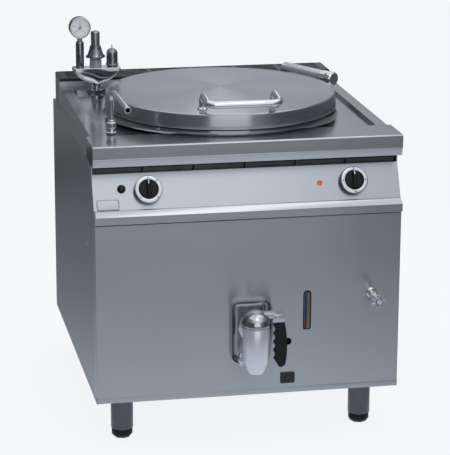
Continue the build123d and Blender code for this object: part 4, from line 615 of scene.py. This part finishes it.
def make_drain_valve():
    post = on_post(0, VALVE_Y)
    shell = turned(
        "drain_valve_shell",
        [(18, 229), (20.5, 229), (22, 230.5), (36.2, 263.4), (37, 266.5), (37, 357.5), (35.6, 359.9),
         (27.5, 359.9), (27.5, 282), (18, 282)],
        post, 72, True,
    )
    branch = turned("branch", [(24, 30), (24, 88.5)], out_front(0, -410, 334), 48)
    nut = turned("union_nut", [(31, 5.6), (36, 8), (36, 23.5), (31, 26)], out_front(0, -410, 334), 8)
    lug = slab("lock_lug", 70, 16, 14, 7.9, local_frame((-16.5, VALVE_Y + 19, 246), ALONG_Z, (-33, 38, 0)),
               0.8)
    body = joined("drain_valve_casting", [rounded(shell, 0.5), rounded(nut, 0.8), lug, branch])
    fit(body, "satin_steel", "drain_valve_body", finish="valve_grey")
    cap = turned(
        "valve_cap",
        [(39.4, 360.3), (41, 361.8), (41, 363.6), (39.9, 364.2), (39.9, 365.2), (41, 365.8)]
        + arc((0, 365.3), 41, 6, 61, 9)
        + [(18.6, 400.9), (18.2, 402.2), (16.6, 402.3), (16.2, 401.2), (2, 401.2)],
        post, 72,
    )
    fit(rounded(cap, 0.25), CHROME, "drain_cap", body="drain_lever", finish="cap_chrome")
    disc = turned("cap_button", [(16, 401.1), (16, 402), (15, 402.25), (2, 402.25)], post, 48)
    fit(disc, CHROME, body="drain_lever", finish="valve_satin")
    ring = turned("cap_button_ring", [(13.4, 402.2), (13.4, 402.29), (11.6, 402.29), (11.6, 402.2)], post, 48,
                  True)
    fit(ring, CHROME, body="drain_lever", finish="ring_blue")
    arm = block("arm", (14, -12.4, 384), (64, 12.4, 400.3), post, 2.2)
    hook = block("hook", (42, -13, 372), (75.5, 13, 397), post, 2.6)
    screw = turned("screw", [(4.2, 12), (4.2, 13.6), (3.4, 14.2), (1, 14.3)], out_front(57, VALVE_Y, 386), 24)
    fit(joined("drain_lever_arm", [arm, hook, screw]), "satin_steel", "drain_cap", body="drain_lever")
    pin = turned(
        "lock_pin",
        [(4, 238), (4, 258.8), (4.4, 260.4)] + arc((0, 267.3), 7, -68, 82, 9),
        on_post(-33, -460.5), 32,
    )
    fit(pin, CHROME, "drain_lock_pin", body="drain_lock", smooth=60)


# ---------------------------------------------------------------- gauge and valves on the manifold
MANIFOLD_Y = 289.5
DIAL_ZERO = 225  # degrees clockwise from the top, where the needle rests


def flat_text(words, height, frame_matrix, thickness):
    """Printed figures lying on their frame."""
    bpy.ops.object.text_add()
    label = bpy.context.object
    label.data.body = words
    label.data.size = height * MM
    label.data.align_x = "CENTER"
    label.data.align_y = "CENTER"
    label.data.extrude = thickness * MM
    pick(label)
    bpy.ops.object.convert(target="MESH")
    settle(label, frame_matrix)
    return label


def spun_round(frame_matrix, degrees, out=0.0, up=0.0):
    """Frame turned clockwise about a frame's Z and stepped out along its own Y."""
    turn = Matrix.Rotation(-radians(degrees), 4, "Z")
    return frame_matrix @ turn @ Matrix.Translation(point(0, out, up))


def make_gauge():
    back = out_front(-367, 303.5, 1047)
    drum = turned("gauge_drum", [(11, 0), (29.4, 0), (31, 1.6), (31, 20.4)], back, 72)
    fit(rounded(drum, 0.4), CHROME, "gauge_case", finish="black_enamel")
    bezel = turned(
        "gauge_bezel",
        [(31.1, 20.4), (31.5, 21.2), (31.5, 26.2), (30.6, 27.6), (29.4, 28), (28.5, 27.4), (28.2, 26),
         (28.2, 20.4)],
        back, 96, True,
    )
    fit(bezel, CHROME, smooth=50, finish="bezel_chrome")
    face = turned("gauge_face", [(28.1, 20.5), (28.1, 21), (1.2, 21)], back, 72)
    fit(face, CHROME, finish="dial_white")
    marks = []
    for i in range(26):
        major = i % 5 == 0
        low = 19.6 if major else 21.4
        wide = 0.45 if major else 0.22
        marks.append(block("mark", (-wide, low, 21), (wide, 24, 21.12),
                           spun_round(back, DIAL_ZERO + i * 10.8), 0.05, 1))
    for i in range(6):
        turn = DIAL_ZERO + i * 54
        seat = spun_round(back, turn, 15.4, 21.1) @ Matrix.Rotation(radians(turn), 4, "Z")
        marks.append(flat_text(f"{i * 0.5:g}", 4.6, seat, 0.06))
    fit(joined("gauge_marks", marks), "needle_black")
    hub = turned("hub", [(3.4, 21.2), (3.4, 22.2), (1.3, 22.2), (1.3, 21.2)], back, 32, True)
    legs = [hub]
    for turn, reach, wide in ((2, 19, 0.8), (152, 8, 0.9), (212, 8, 0.9)):
        legs.append(block("leg", (-wide, 2, 21.3), (wide, reach, 21.8), spun_round(back, turn), 0.15, 1))
    fit(joined("gauge_set_pointer", legs), "needle_black", finish="pointer_red")
    needle = slab("needle", 1.6, 30, 0.8, 0.5, spun_round(back, DIAL_ZERO, 6, 23), 0)
    tip = spun_round(back, DIAL_ZERO, 21, 23).translation
    start_editing_some(needle, "VERT", lambda vertex: (vertex.co - tip).length < 3 * MM)
    bpy.ops.transform.resize(value=(0.3, 1, 0.3), center_override=tuple(tip))
    stop_editing()
    boss = turned("needle_boss", [(1.1, 17.2), (1.1, 23), (2.6, 23), (2.6, 23.9), (1.8, 24.3), (0.6, 24.3)],
                  back, 32)
    fit(joined("gauge_pointer", [needle, boss]), "needle_black", "gauge_needle", body="gauge_needle")


def make_gauge_stem():
    post = on_post(-367, MANIFOLD_Y)
    stem = turned(
        "gauge_stem_tube",
        [(10.6, 928), (12, 929.4), (12, 1000.6), (11.3, 1003.6), (9.4, 1005.6), (6.6, 1006)],
        post, 64,
    )
    fit(rounded(stem, 0.4), "black_enamel", "gauge_stem", finish="dark_chrome")
    nut = turned("gauge_neck_nut", [(6.6, 1006), (8.4, 1006.8), (8.4, 1012.4), (6.8, 1013.4), (6.8, 1016.2)],
                 post, 6)
    fit(rounded(nut, 0.3), CHROME, finish="valve_satin")


def make_relief_valve():
    x = -321
    post = on_post(x, MANIFOLD_Y)
    hexagon = turned("relief_nut", [(16.6, 928), (19, 929.8), (19, 949.4), (16.8, 952)], post, 6)
    fit(rounded(hexagon, 0.6), CHROME, finish="valve_satin")
    bell = turned(
        "bell",
        [(14, 951), (16, 952.4), (16, 955), (21, 955.8), (25.2, 957.2), (26, 958.6), (26, 961), (24.6, 963.4)]
        + [(22.6, 968), (20.6, 973.5), (18.6, 979.5), (17.2, 984.5), (16.4, 988), (16.6, 989.2), (16.2, 991),
           (14.6, 992)]
        + [(5, 992), (5, 951)],
        post, 64, True,
    )
    lobe = turned("lobe", [(4.8, 955.6), (6.4, 957.2), (6.4, 962.4), (4.6, 964.2), (1, 964.6)],
                  on_post(x + 22, MANIFOLD_Y), 32)
    body = joined("relief_bell", [rounded(bell, 0.4)] + evenly_round(lobe, 6, post))
    fit(body, CHROME, "safety_valve_body", smooth=40, finish="dark_chrome")
    cap = turned(
        "relief_cap",
        [(5.1, 992.3), (12, 992.3), (13, 993.2), (13, 997), (13, 1000), (13, 1028.6), (12.6, 1031.4),
         (10.6, 1034.2), (8, 1035)]
        + [(5.1, 1035)],
        post, 48, True,
    )
    centre = point(x, MANIFOLD_Y, 0)

    def in_flute(side):
        out = side.center - centre
        part = int((atan2(out.y, out.x) / (2 * pi) + 1) * 48) % 3
        return part == 0 and out.xy.length > 12.4 * MM and 1001 * MM < side.center.z < 1027 * MM

    start_editing_some(cap, "FACE", in_flute)
    bpy.ops.mesh.extrude_region_shrink_fatten(TRANSFORM_OT_shrink_fatten={"value": -0.9 * MM})
    stop_editing()
    fit(cap, CHROME, "safety_valve_cap", body="relief_cap", finish="relief_grey")
    button = turned("relief_cap_button", [(4.9, 1029), (4.9, 1033.4), (4.2, 1034.4), (1, 1034.8)], post, 32)
    fit(button, CHROME, body="relief_cap", smooth=50)


def make_vent_valve():
    post = on_post(-272, MANIFOLD_Y)
    dome = turned(
        "vent_dome",
        [(13.6, 928), (15.4, 928.4), (15.4, 932.2), (18, 932.8), (19, 934), (19, 936.2), (18, 937.4),
         (16.8, 938)]
        + [(16.5, 939.4), (16.5, 952), (16.5, 966.5)]
        + arc((0, 966.5), 16.5, 9, 81, 8)
        + [(2.3, 982.8), (2.3, 928)],
        post, 64, True,
    )
    fit(dome, CHROME, "vent_valve_body", smooth=50, finish="dark_chrome")
    pin = turned(
        "vent_pin_rod",
        [(2, 953), (2, 984), (1.5, 984.6), (1.5, 988.4), (2, 989.2), (2, 991.8), (1.4, 992.8), (0.6, 993)],
        post, 24,
    )
    fit(pin, CHROME, "vent_pin", body="vent_pin", smooth=50)


def make_riser():
    post = on_post(-318, MANIFOLD_Y)
    outline = []
    for i in range(6):
        low = 872.6 + i * 1.2
        outline += [(12.05, low), (12.6, low + 0.6)]
    outline += [(12.05, 879.9), (11.6, 879.9), (11.6, 872.6)]
    threads = turned("riser_threads", outline, post, 48, True)
    fit(threads, CHROME, finish="dark_chrome")


# ---------------------------------------------------------------- filling spout
SPOUT = (-353, -250.5)


def make_spout():
    post = on_post(*SPOUT)
    rings = [
        turned("flange", [(8.4, 840), (18, 840), (18, 842.4), (16.4, 844), (8.4, 844)], post, 48, True),
        turned("nut", [(8.4, 844), (13.4, 844), (15, 845.6), (15, 856.4), (13.4, 858), (8.4, 858)], post, 6,
               True),
        turned("waist", [(8.4, 858), (12, 858), (11.2, 860), (11.2, 866), (12, 868), (8.4, 868)], post, 48,
               True),
        turned("swivel",
               [(8.4, 868), (13.6, 868), (15, 869.8), (15, 880.6), (13.4, 883.6), (10.6, 885), (8.4, 885)],
               post, 8, True),
    ]
    fit(joined("spout_fitting", [rounded(ring, 0.5) for ring in rings]), CHROME, "spout_base")
    top, tip = (*SPOUT, 973), (-329.5, -398.65, 947)
    tube = pipe("tube", [(*SPOUT, 850.6), top, tip], 8, 26, 32, 6.5)
    way = Vector(tip) - Vector(top)
    mouth = turned(
        "mouth",
        [(8, -7), (9.2, -6.4), (9.5, -5), (9.5, -1.2), (8.8, -0.2), (7, -0.05), (6.6, -1), (6.6, -7)],
        local_frame(tip, way, (0, 0, 1)), 48, True,
    )
    collar = turned("collar", [(8, 886), (9.4, 886), (9.8, 887), (9.8, 889), (9.2, 890), (8, 890.4)], post,
                    48, True)
    fit(joined("spout_tube", [tube, mouth, collar]), CHROME, "spout_pipe", body="spout", smooth=45)


# ---------------------------------------------------------------- lid hinge
HINGE = (311.77, 197.5, 902)
HINGE_ALONG = (0.5, -0.86603, 0)


def make_hinge():
    axle = local_frame(HINGE, HINGE_ALONG, (0, 0, 1))
    barrel = turned(
        "barrel",
        [(8.1, -109.6), (17.4, -109.6), (19, -108), (19, -20), (19, 43), (17.4, 44.6), (8.1, 44.6)],
        axle, 64, True,
    )
    fit(rounded(barrel, 0.5), "satin_steel", body="lid", finish="hinge_satin")


# ---------------------------------------------------------------- fittings on the front panel
def make_escutcheon():
    plate = slab("escutcheon", 107, 175, 3, 20, out_front(1.5, FRONT_FACE, 322), 0)
    recessed(plate, (0, -1, 0), (0.7, 0), (1.0, -1.0))
    bore = turned("bore", [(26, -2), (26, 6)], out_front(0, FRONT_FACE, 334), 64)
    modified(plate, "BOOLEAN", operation="DIFFERENCE", solver="EXACT", object=bore)
    bpy.data.objects.remove(bore)
    fit(rounded(plate, 0.5, 3), "satin_steel", "escutcheon_plate", finish="plate_steel")


def make_level_glass():
    place = out_front(162, -398.5, 368)
    tray = slab("sight_tray", 34, 128, 2, 8, place, 0.4)
    frame_ring = slab("sight_liner", 20.8, 114.8, 9.4, 10.3, place, 0)
    recessed(frame_ring, (0, -1, 0), (0.8, 0), (0.01, -7.6))
    fit(joined("sight_housing", [tray, frame_ring]), "level_glass", "sight_glass", finish="sight_black")
    tube = turned(
        "level_tube", [(5.6, 317), (6, 317.6), (6, 368), (6, 419.4), (5.6, 420)],
        on_post(165.5, -406.5 + 3.4), 32
    )
    fit(tube, "level_glass", finish="tube_glass")
    for colour, low, high in (("blue", 341, 419), ("red", 318, 341)):
        line = block(f"level_{colour}_line", (153.6, -408.0, low), (155.6, -401.6, high), None, 0.4, 1)
        fit(line, "level_glass", finish="line_" + colour)
    lip = block("sight_lower_lip", (154, -408.2, 311.3), (170, -403, 313.2), None, 0.5, 2)
    fit(lip, "level_glass", finish="valve_satin")


def make_inspection_window():
    place = out_front(108.5, FRONT_FACE, 177)
    plate = slab("window_plate", 40, 31, 2.5, 3.2, place, 0.7)
    fit(plate, BLACK, "inspection_window", finish="window_black")
    ring = turned("window_ring", [(9.4, 2.3), (9.4, 2.5), (8.2, 2.5), (7.4, 1.2), (7.4, 0.4), (9.4, 0.4)],
                  place, 48, True)
    lens = turned("window_lens", [(7.4, 1.4), (7.4, 1.9), (4, 2.3), (1, 2.4)], place, 48)
    fit(joined("window_eye", [ring, lens]), BLACK, finish="eye_black")


def make_level_tap():
    place = out_front(343, FRONT_FACE, 410)
    flange = turned("flange", [(9, 0), (15, 0), (15, 2.2), (14.2, 3.8), (12.6, 5), (9, 5)], place, 56, True)
    stub = turned("stub", [(4.3, 4), (9, 4), (9, 33), (9, 60.8), (8.2, 62), (4.3, 62)], place, 48, True)
    nut = turned("nut", [(8.6, 34), (10.8, 34), (12, 35.4), (12, 44.6), (10.8, 46), (8.6, 46)], place, 6,
                 True)
    collar = turned("collar", [(8.6, 52), (10.4, 52.6), (10.4, 58), (9.6, 59), (8.6, 59)], place, 48, True)
    nozzle = turned(
        "nozzle",
        [(4, 384), (5.6, 384), (6, 384.6), (6, 390), (5.6, 392), (6, 394), (6, 406), (4, 406)],
        on_post(343, -430.5), 40, True,
    )
    parts = [rounded(piece, 0.4) for piece in (flange, stub, nut, collar)] + [nozzle]
    fit(joined("level_tap_casting", parts), CHROME, "level_tap_body")
    base = out_front(343, -470.8, 410)
    hub = turned(
        "hub",
        [(9, 0), (9, 8), (9.6, 9.6), (10, 11), (10, 21), (10.2, 24.4), (9.4, 26.6), (8.4, 27.4), (7.9, 27),
         (1, 26.8)],
        base, 56,
    )
    lobe = turned("lobe", [(3.2, 10), (4.4, 11.2), (4.4, 21.4), (3.2, 23), (1, 23.2)],
                  base @ Matrix.Translation(point(0, 13, 0)), 24)
    knob = joined("level_tap_wheel", [hub] + evenly_round(lobe, 4, base))
    fit(knob, CHROME, "level_tap_knob", body="level_tap", smooth=40)
    ring = turned("level_tap_ring", [(9.9, 26), (9.7, 27.2), (8.5, 27.9), (8.1, 27.7), (8.1, 26)], base, 56,
                  True)
    fit(ring, CHROME, body="level_tap", finish="ring_blue", smooth=50)
    disc = turned("level_tap_disc", [(7.8, 26.4), (7.8, 27.2), (6, 27.6), (1, 27.7)], base, 48)
    fit(disc, CHROME, body="level_tap", finish="valve_satin")


def make_badge_plate():
    """Blank plate at the left end of the slanted panel."""
    place = on_slope(-384, 688)
    plate = slab("blank_plate", 60, 27, 1.2, 2.5, place, 0)
    recessed(plate, SLOPE_OUT, (1.1, 0), (0.4, -0.35))
    fit(rounded(plate, 0.25), "satin_steel", finish="plate_blank")


# ---------------------------------------------------------------- trims on the front
TRIM_HALF, WORKTOP_HALF, CABINET_HALF = 421, 424.6, 423


def fold(name, outline, half, rounding=0.6):
    """A strip with an outline in depth and height, as long as twice its half, its edges rolled."""
    bpy.ops.mesh.primitive_circle_add(vertices=len(outline), radius=0.01, fill_type="NGON")
    piece = newest(name)
    for vertex, (y, z) in zip(piece.data.vertices, outline):
        vertex.co = point(-half, y, z)
    start_editing(piece)
    extrude((2 * half * MM, 0, 0))
    stop_editing()
    return rounded(piece, rounding, 3)


def make_trims():
    """Rolled brow on the panel's lip, a black strip of painted shadow under it, strip over the vents and edge
    on the worktop; the brow, fold and edge take a lighter steel as painted highlight.
    """
    brow = fold(
        "lip_brow",
        [(-395.2, 674.2), (-395.6, 675.2), (-406.8, 675.2), (-420.2, 661.8), (-420.2, 659.6), (-419.4, 659.6),
         (-419.3, 661.9)],
        TRIM_HALF,
    )
    # the brow's lighter steel is a painted highlight
    fit(brow, "panel_steel", finish="lip_steel", smooth=50)
    # black strip under the lip is painted shadow of the gap there
    shadow_band = fold("lip_shadow_strip", [(-408.3, 640.4), (-408.3, 634.6), (-409.4, 634.6), (-409.4, 640.4)], TRIM_HALF)
    fit(shadow_band, BLACK, finish="seal_black")
    strip = fold("vent_brow", [(-352.4, 793.2), (-352.4, 787.4), (-354.4, 787.4), (-355.2, 793.2)],
                 TRIM_HALF - 0.5)
    fit(strip, "panel_steel")
    under = fold(
        "fascia_fold",
        [(-400.2, 816.4), (-400.9, 814.8), (-393.4, 792.4), (-381.4, 792.4), (-381.4, 794), (-392.4, 794.4),
         (-399.6, 815.4)],
        WORKTOP_HALF,
    )
    # the fold under the fascia takes lighter steel as a painted highlight on the bevel
    fit(under, "worktop_steel", finish="lip_steel", smooth=50)
    edge = fold(
        "worktop_edge",
        [(-396.4, 850.1), (-395.4, 850.9), (-397.6, 850.9), (-400.8, 847.9), (-400.8, 846.4),
         (-400.1, 846.4)],
        WORKTOP_HALF,
    )
    # the worktop's front edge takes lighter steel as a painted highlight
    fit(edge, "worktop_steel", finish="lip_steel", smooth=50)


def make_base_skirt():
    """Folded sheets that carry the cabinet's sides down below its floor."""
    low, high = 133.2, 150
    for name, face, half, turn, along, finish in (
        ("front", FRONT_FACE, CABINET_HALF, 0, (0, 0), "panel_steel"),
        ("rear", -509.5, CABINET_HALF, 180, (0, 0), "panel_steel"),
        ("left", -CABINET_HALF, 459, -90, (0, 50.5), "side_steel"),
        ("right", -CABINET_HALF, 459, 90, (0, 50.5), "side_steel"),
    ):
        outline = [(face, high), (face, low), (face + 12, low), (face + 12, low + 1.5),
                   (face + 1.5, low + 1.5)]
        strip = fold("base_skirt_" + name, outline + [(face + 1.5, high)], half, 0.12)
        settle(strip, Matrix.Translation(point(*along, 0)) @ Matrix.Rotation(radians(turn), 4, "Z"))
        fit(strip, "panel_steel", finish=finish)


# ---------------------------------------------------------------- side screws, legs and feet
LEGS = {
    "front_left": (-340, -310.5), "front_right": (340, -310.5),
    "rear_left": (-340, 419.5), "rear_right": (340, 419.5),
}


def make_side_screws():
    outline = [(4.6, 0), (4.6, 0.5), (3.8, 1.2), (2.2, 1.5), (1.6, 0.8), (0.6, 0.8)]
    screws = []
    for side in (-1, 1):
        for y, z in ((-245.3, 544.9), (471.2, 177.4)):
            seat = local_frame((side * CABINET_HALF, y, z), (side, 0, 0), (0, 1, 0))
            screws.append(turned("screw", outline, seat, 24))
    fit(joined("side_screws", screws), "satin_steel", smooth=50)


def make_legs():
    outline = [(12.1, 25.3), (28.4, 25.3), (30, 26), (31, 27.6), (31, 90), (31, 149.9), (12.1, 149.9)]
    sleeves = [turned("sleeve", outline, on_post(*place), 64, True) for place in LEGS.values()]
    fit(joined("leg_tubes", sleeves), "satin_steel", "leg_sleeves", finish="leg_steel", smooth=40)
    for corner, place in LEGS.items():
        post = on_post(*place)
        skirt = turned("skirt", [(12, 9), (28.8, 9), (29, 10), (29, 22.6), (28, 24.4), (12, 25)], post, 48,
                       True)
        tread = turned("tread", [(20, 0), (23, 0.2), (29.4, 9.4), (29.4, 12), (20, 12)], post, 8, True)
        sole = turned("sole", [(20.4, 0.3), (20.4, 4), (1, 4)], post, 48)
        stem = turned("stem", [(12, 20), (12, 97), (1, 97)], post, 32)
        name = "foot_" + corner
        foot = joined(name + "_tread", [rounded(skirt, 0.5), rounded(tread, 0.8), sole, stem])
        fit(foot, BLACK, name, body=name)


make_lid()
make_collar()
make_lid_handle()
make_knob("gas_knob", -274, (0, 45, 135, 225), "gas_knob")
make_knob("switch_knob", 293, (0, 90, 180, 270), "switch_knob")
make_igniter_and_lamp()
make_drain_valve()
make_gauge()
make_gauge_stem()
make_relief_valve()
make_vent_valve()
make_riser()
make_spout()
make_hinge()
make_escutcheon()
make_level_glass()
make_inspection_window()
make_level_tap()
make_badge_plate()
make_trims()
make_base_skirt()
make_side_screws()
make_legs()


# ---------------------------------------------------------------- studio
def blended(owner, share, first, second):
    """Shader socket part way from one shader to another."""
    blend = add_node(owner, "ShaderNodeMixShader", Fac=share)
    feed(owner, blend.inputs[1], first)
    feed(owner, blend.inputs[2], second)
    return blend.outputs["Shader"]


def place_floor():
    """Pale floor that keeps the kettle's shadow."""
    bpy.ops.mesh.primitive_plane_add(size=24)
    floor = newest("studio_floor")
    material, shader = new_material("studio_floor", Base_Color=(*BACKDROP, 1), Roughness=0.9)
    glow = add_node(material, "ShaderNodeEmission", Color=(*FLOOR_GLOW, 1))
    both = blended(material, 0.88, shader.outputs["BSDF"], glow.outputs["Emission"])
    feed(material, material.node_tree.nodes["Material Output"].inputs["Surface"], both)
    floor.data.materials.append(material)


def light_world():
    """Pale surround, dimmer as a light than the camera, metal and glass see it."""
    world = bpy.data.worlds.new("studio")
    bpy.context.scene.world = world
    world.use_nodes = True
    seen = world.node_tree.nodes["Background"]
    seen.inputs["Color"].default_value = (*BACKDROP, 1)
    seen.inputs["Strength"].default_value = 1.0
    fill = add_node(world, "ShaderNodeBackground", Color=(*BACKDROP, 1), Strength=0.55)
    rays = add_node(world, "ShaderNodeLightPath").outputs
    shown = maths(world, "MAXIMUM", rays["Is Camera Ray"], rays["Is Glossy Ray"])["Value"]
    shown = maths(world, "MAXIMUM", shown, rays["Is Transmission Ray"])["Value"]
    both = blended(world, shown, fill.outputs["Background"], seen.outputs["Background"])
    feed(world, world.node_tree.nodes["World Output"].inputs["Surface"], both)


def aim(obj, target):
    direction = Vector(target) - obj.location
    obj.rotation_euler = direction.to_track_quat("-Z", "Y").to_euler()


def soft_light(name, place, target, size, watts):
    """Large square lamp."""
    bpy.ops.object.light_add(type="AREA", location=place)
    lamp = newest(name)
    lamp.data.shape = "RECTANGLE"
    lamp.data.size, lamp.data.size_y = size
    lamp.data.energy = watts
    lamp.visible_glossy = False
    aim(lamp, target)


def level_ramp(material, value, low, high, stops):
    """Grey levels at stops along a value's range."""
    ramp = add_node(material, "ShaderNodeValToRGB", Fac=mapped(material, value, (low, high)))
    places = ramp.color_ramp.elements
    while len(places) < len(stops):
        places.new(0.5)
    for place, (stop, level) in zip(places, stops):
        place.position = (stop - low) / (high - low)
        place.color = (*shade(SURROUND_TINT, level), 1)
    return ramp.outputs["Color"]


def only_reflected(card, material, colour=(*BACKDROP, 1), level=1.0):
    """Makes a card seen in reflections and by nothing else."""
    glow = add_node(material, "ShaderNodeEmission", Color=colour, Strength=level)
    output = material.node_tree.nodes["Material Output"]
    feed(material, output.inputs["Surface"], glow.outputs["Emission"])
    card.data.materials.append(material)
    card.visible_camera = False
    card.visible_diffuse = False
    card.visible_shadow = False
    card.visible_transmission = False


SURROUND_R, SURROUND_HIGH = 3.2, 3.6
# grey levels by bearing in degrees, then by distance in metres
WALL_LOW = ((-180, 0.16), (-150, 0.14), (-90, 0.10), (-30, 0.10), (-14, 0.24), (1, 0.34), (5, 0.34),
            (20, 0.30), (45, 0.08), (90, 0.10), (140, 0.12), (168, 0.20), (180, 0.18))
WALL_HIGH = ((-180, 0.26), (-120, 0.22), (-60, 0.25), (-30, 0.70), (-5, 1.10), (22, 1.10),
             (50, 0.50), (90, 0.28), (140, 0.25), (162, 0.58), (172, 0.58))
FLOOR_DEPTH = ((-3.2, 0.16), (-2.5, 0.18), (-1.6, 0.40), (-1.0, 0.60), (-0.5, 0.68), (0.3, 0.42),
               (1.0, 0.26), (1.6, 0.21), (2.3, 0.17), (2.7, 0.05), (3.2, 0.03))
FLOOR_ASIDE = ((0.0, 1.0), (0.3, 1.0), (0.9, 0.85), (2.0, 0.4), (3.2, 0.2))
WALL_TURN = (1.2, 2.7)  # heights between which the walls go from low to high levels
BACK_LIFT = 0.8  # how much sooner the back wall turns light


def surround_wall():
    """Round wall that gives the steel its darker sides."""
    bpy.ops.mesh.primitive_cylinder_add(
        vertices=96, radius=SURROUND_R, depth=SURROUND_HIGH, end_fill_type="NOTHING",
        location=(0, 0, SURROUND_HIGH / 2),
    )
    wall = newest("surround_wall")
    settle(wall)
    material = new_material("surround_wall")[0]
    sideways, depth, height = object_axes(material)
    towards = maths(material, "MULTIPLY", depth, -1)["Value"]
    bearing = maths(material, "ARCTAN2", sideways, towards)["Value"]
    low, high = (
        level_ramp(material, bearing, -pi, pi, [(radians(angle), level) for angle, level in stops])
        for stops in (WALL_LOW, WALL_HIGH)
    )
    lift = mapped(material, depth, (0, 1), (0, BACK_LIFT))
    lifted = maths(material, "ADD", height, lift)["Value"]
    rise = mapped(material, lifted, WALL_TURN, smooth=True)
    only_reflected(wall, material, mixed(material, "RGBA", rise, low, high))


def surround_floor():
    """Grey floor under the reflections."""
    bpy.ops.mesh.primitive_plane_add(size=2 * SURROUND_R, location=(0, 0, 0.01))
    ground = newest("surround_floor")
    material = new_material("surround_floor")[0]
    sideways, depth, _ = object_axes(material)
    aside = maths(material, "ABSOLUTE", sideways)["Value"]
    along_depth = level_ramp(material, depth, -SURROUND_R, SURROUND_R, FLOOR_DEPTH)
    across = level_ramp(material, aside, 0, SURROUND_R, FLOOR_ASIDE)
    only_reflected(ground, material, mixed(material, "RGBA", 1.0, along_depth, across, "MULTIPLY"))


def bright_card(name, place, target, size, level):
    bpy.ops.mesh.primitive_plane_add(size=1, location=place)
    card = newest(name)
    card.scale = (*size, 1)
    aim(card, target)
    only_reflected(card, new_material(name)[0], level=level)


def place_camera():
    """Stands ahead of the kettle's front left, a little above it."""
    bearing, height, roll = radians(-11.228), radians(15.611), radians(0.251)
    target = Vector((0.0217, 0.0495, 0.4858))
    distance = 6.2498
    focal_share = 2138.2 / 455  # focal length over the frame's longer side
    back = Vector((sin(bearing) * cos(height), -cos(bearing) * cos(height), sin(height)))
    right = Vector((0, 0, 1)).cross(back).normalized()
    up = back.cross(right)
    turned_right = right * cos(roll) + up * sin(roll)
    turned_up = up * cos(roll) - right * sin(roll)
    bpy.ops.object.camera_add()
    camera = bpy.context.object
    axes = Matrix((turned_right, turned_up, back)).transposed().to_4x4()
    camera.matrix_world = Matrix.Translation(target + back * distance) @ axes
    camera.data.sensor_width = 36
    camera.data.lens = focal_share * camera.data.sensor_width
    camera.data.clip_end = 100
    bpy.context.scene.camera = camera


place_floor()
light_world()
soft_light("overhead_light", (0.2, 0.2, 3.2), (0, 0, 0.5), (2.6, 2.0), 32)
soft_light("front_light", (0.7, -3.4, 3.0), (0, 0, 0.6), (3.4, 1.8), 21)
surround_wall()
surround_floor()
bright_card("key_card", (0.1, -2.3, 3.3), (0, 0, 0.8), (1.5, 0.9), 2.3)
bright_card("front_band", (-0.38, -3.0, 1.1), (-0.38, 0, 1.1), (2.6, 1.4), 1.15)
bright_card("lid_card", (0.45, 2.3, 2.7), (0, 0, 0.9), (0.4, 1.2), 1.5)
bright_card("brow_card", (0.5, -1.1, 3.4), (0, -0.5, 0.8), (2.6, 0.7), 1.7)
bright_card("overhead_card", (1.1, 0.7, 3.5), (0.6, 0.2, 0.8), (1.3, 1.2), 1.4)
place_camera()
bpy.context.scene.view_settings.view_transform = "Standard"
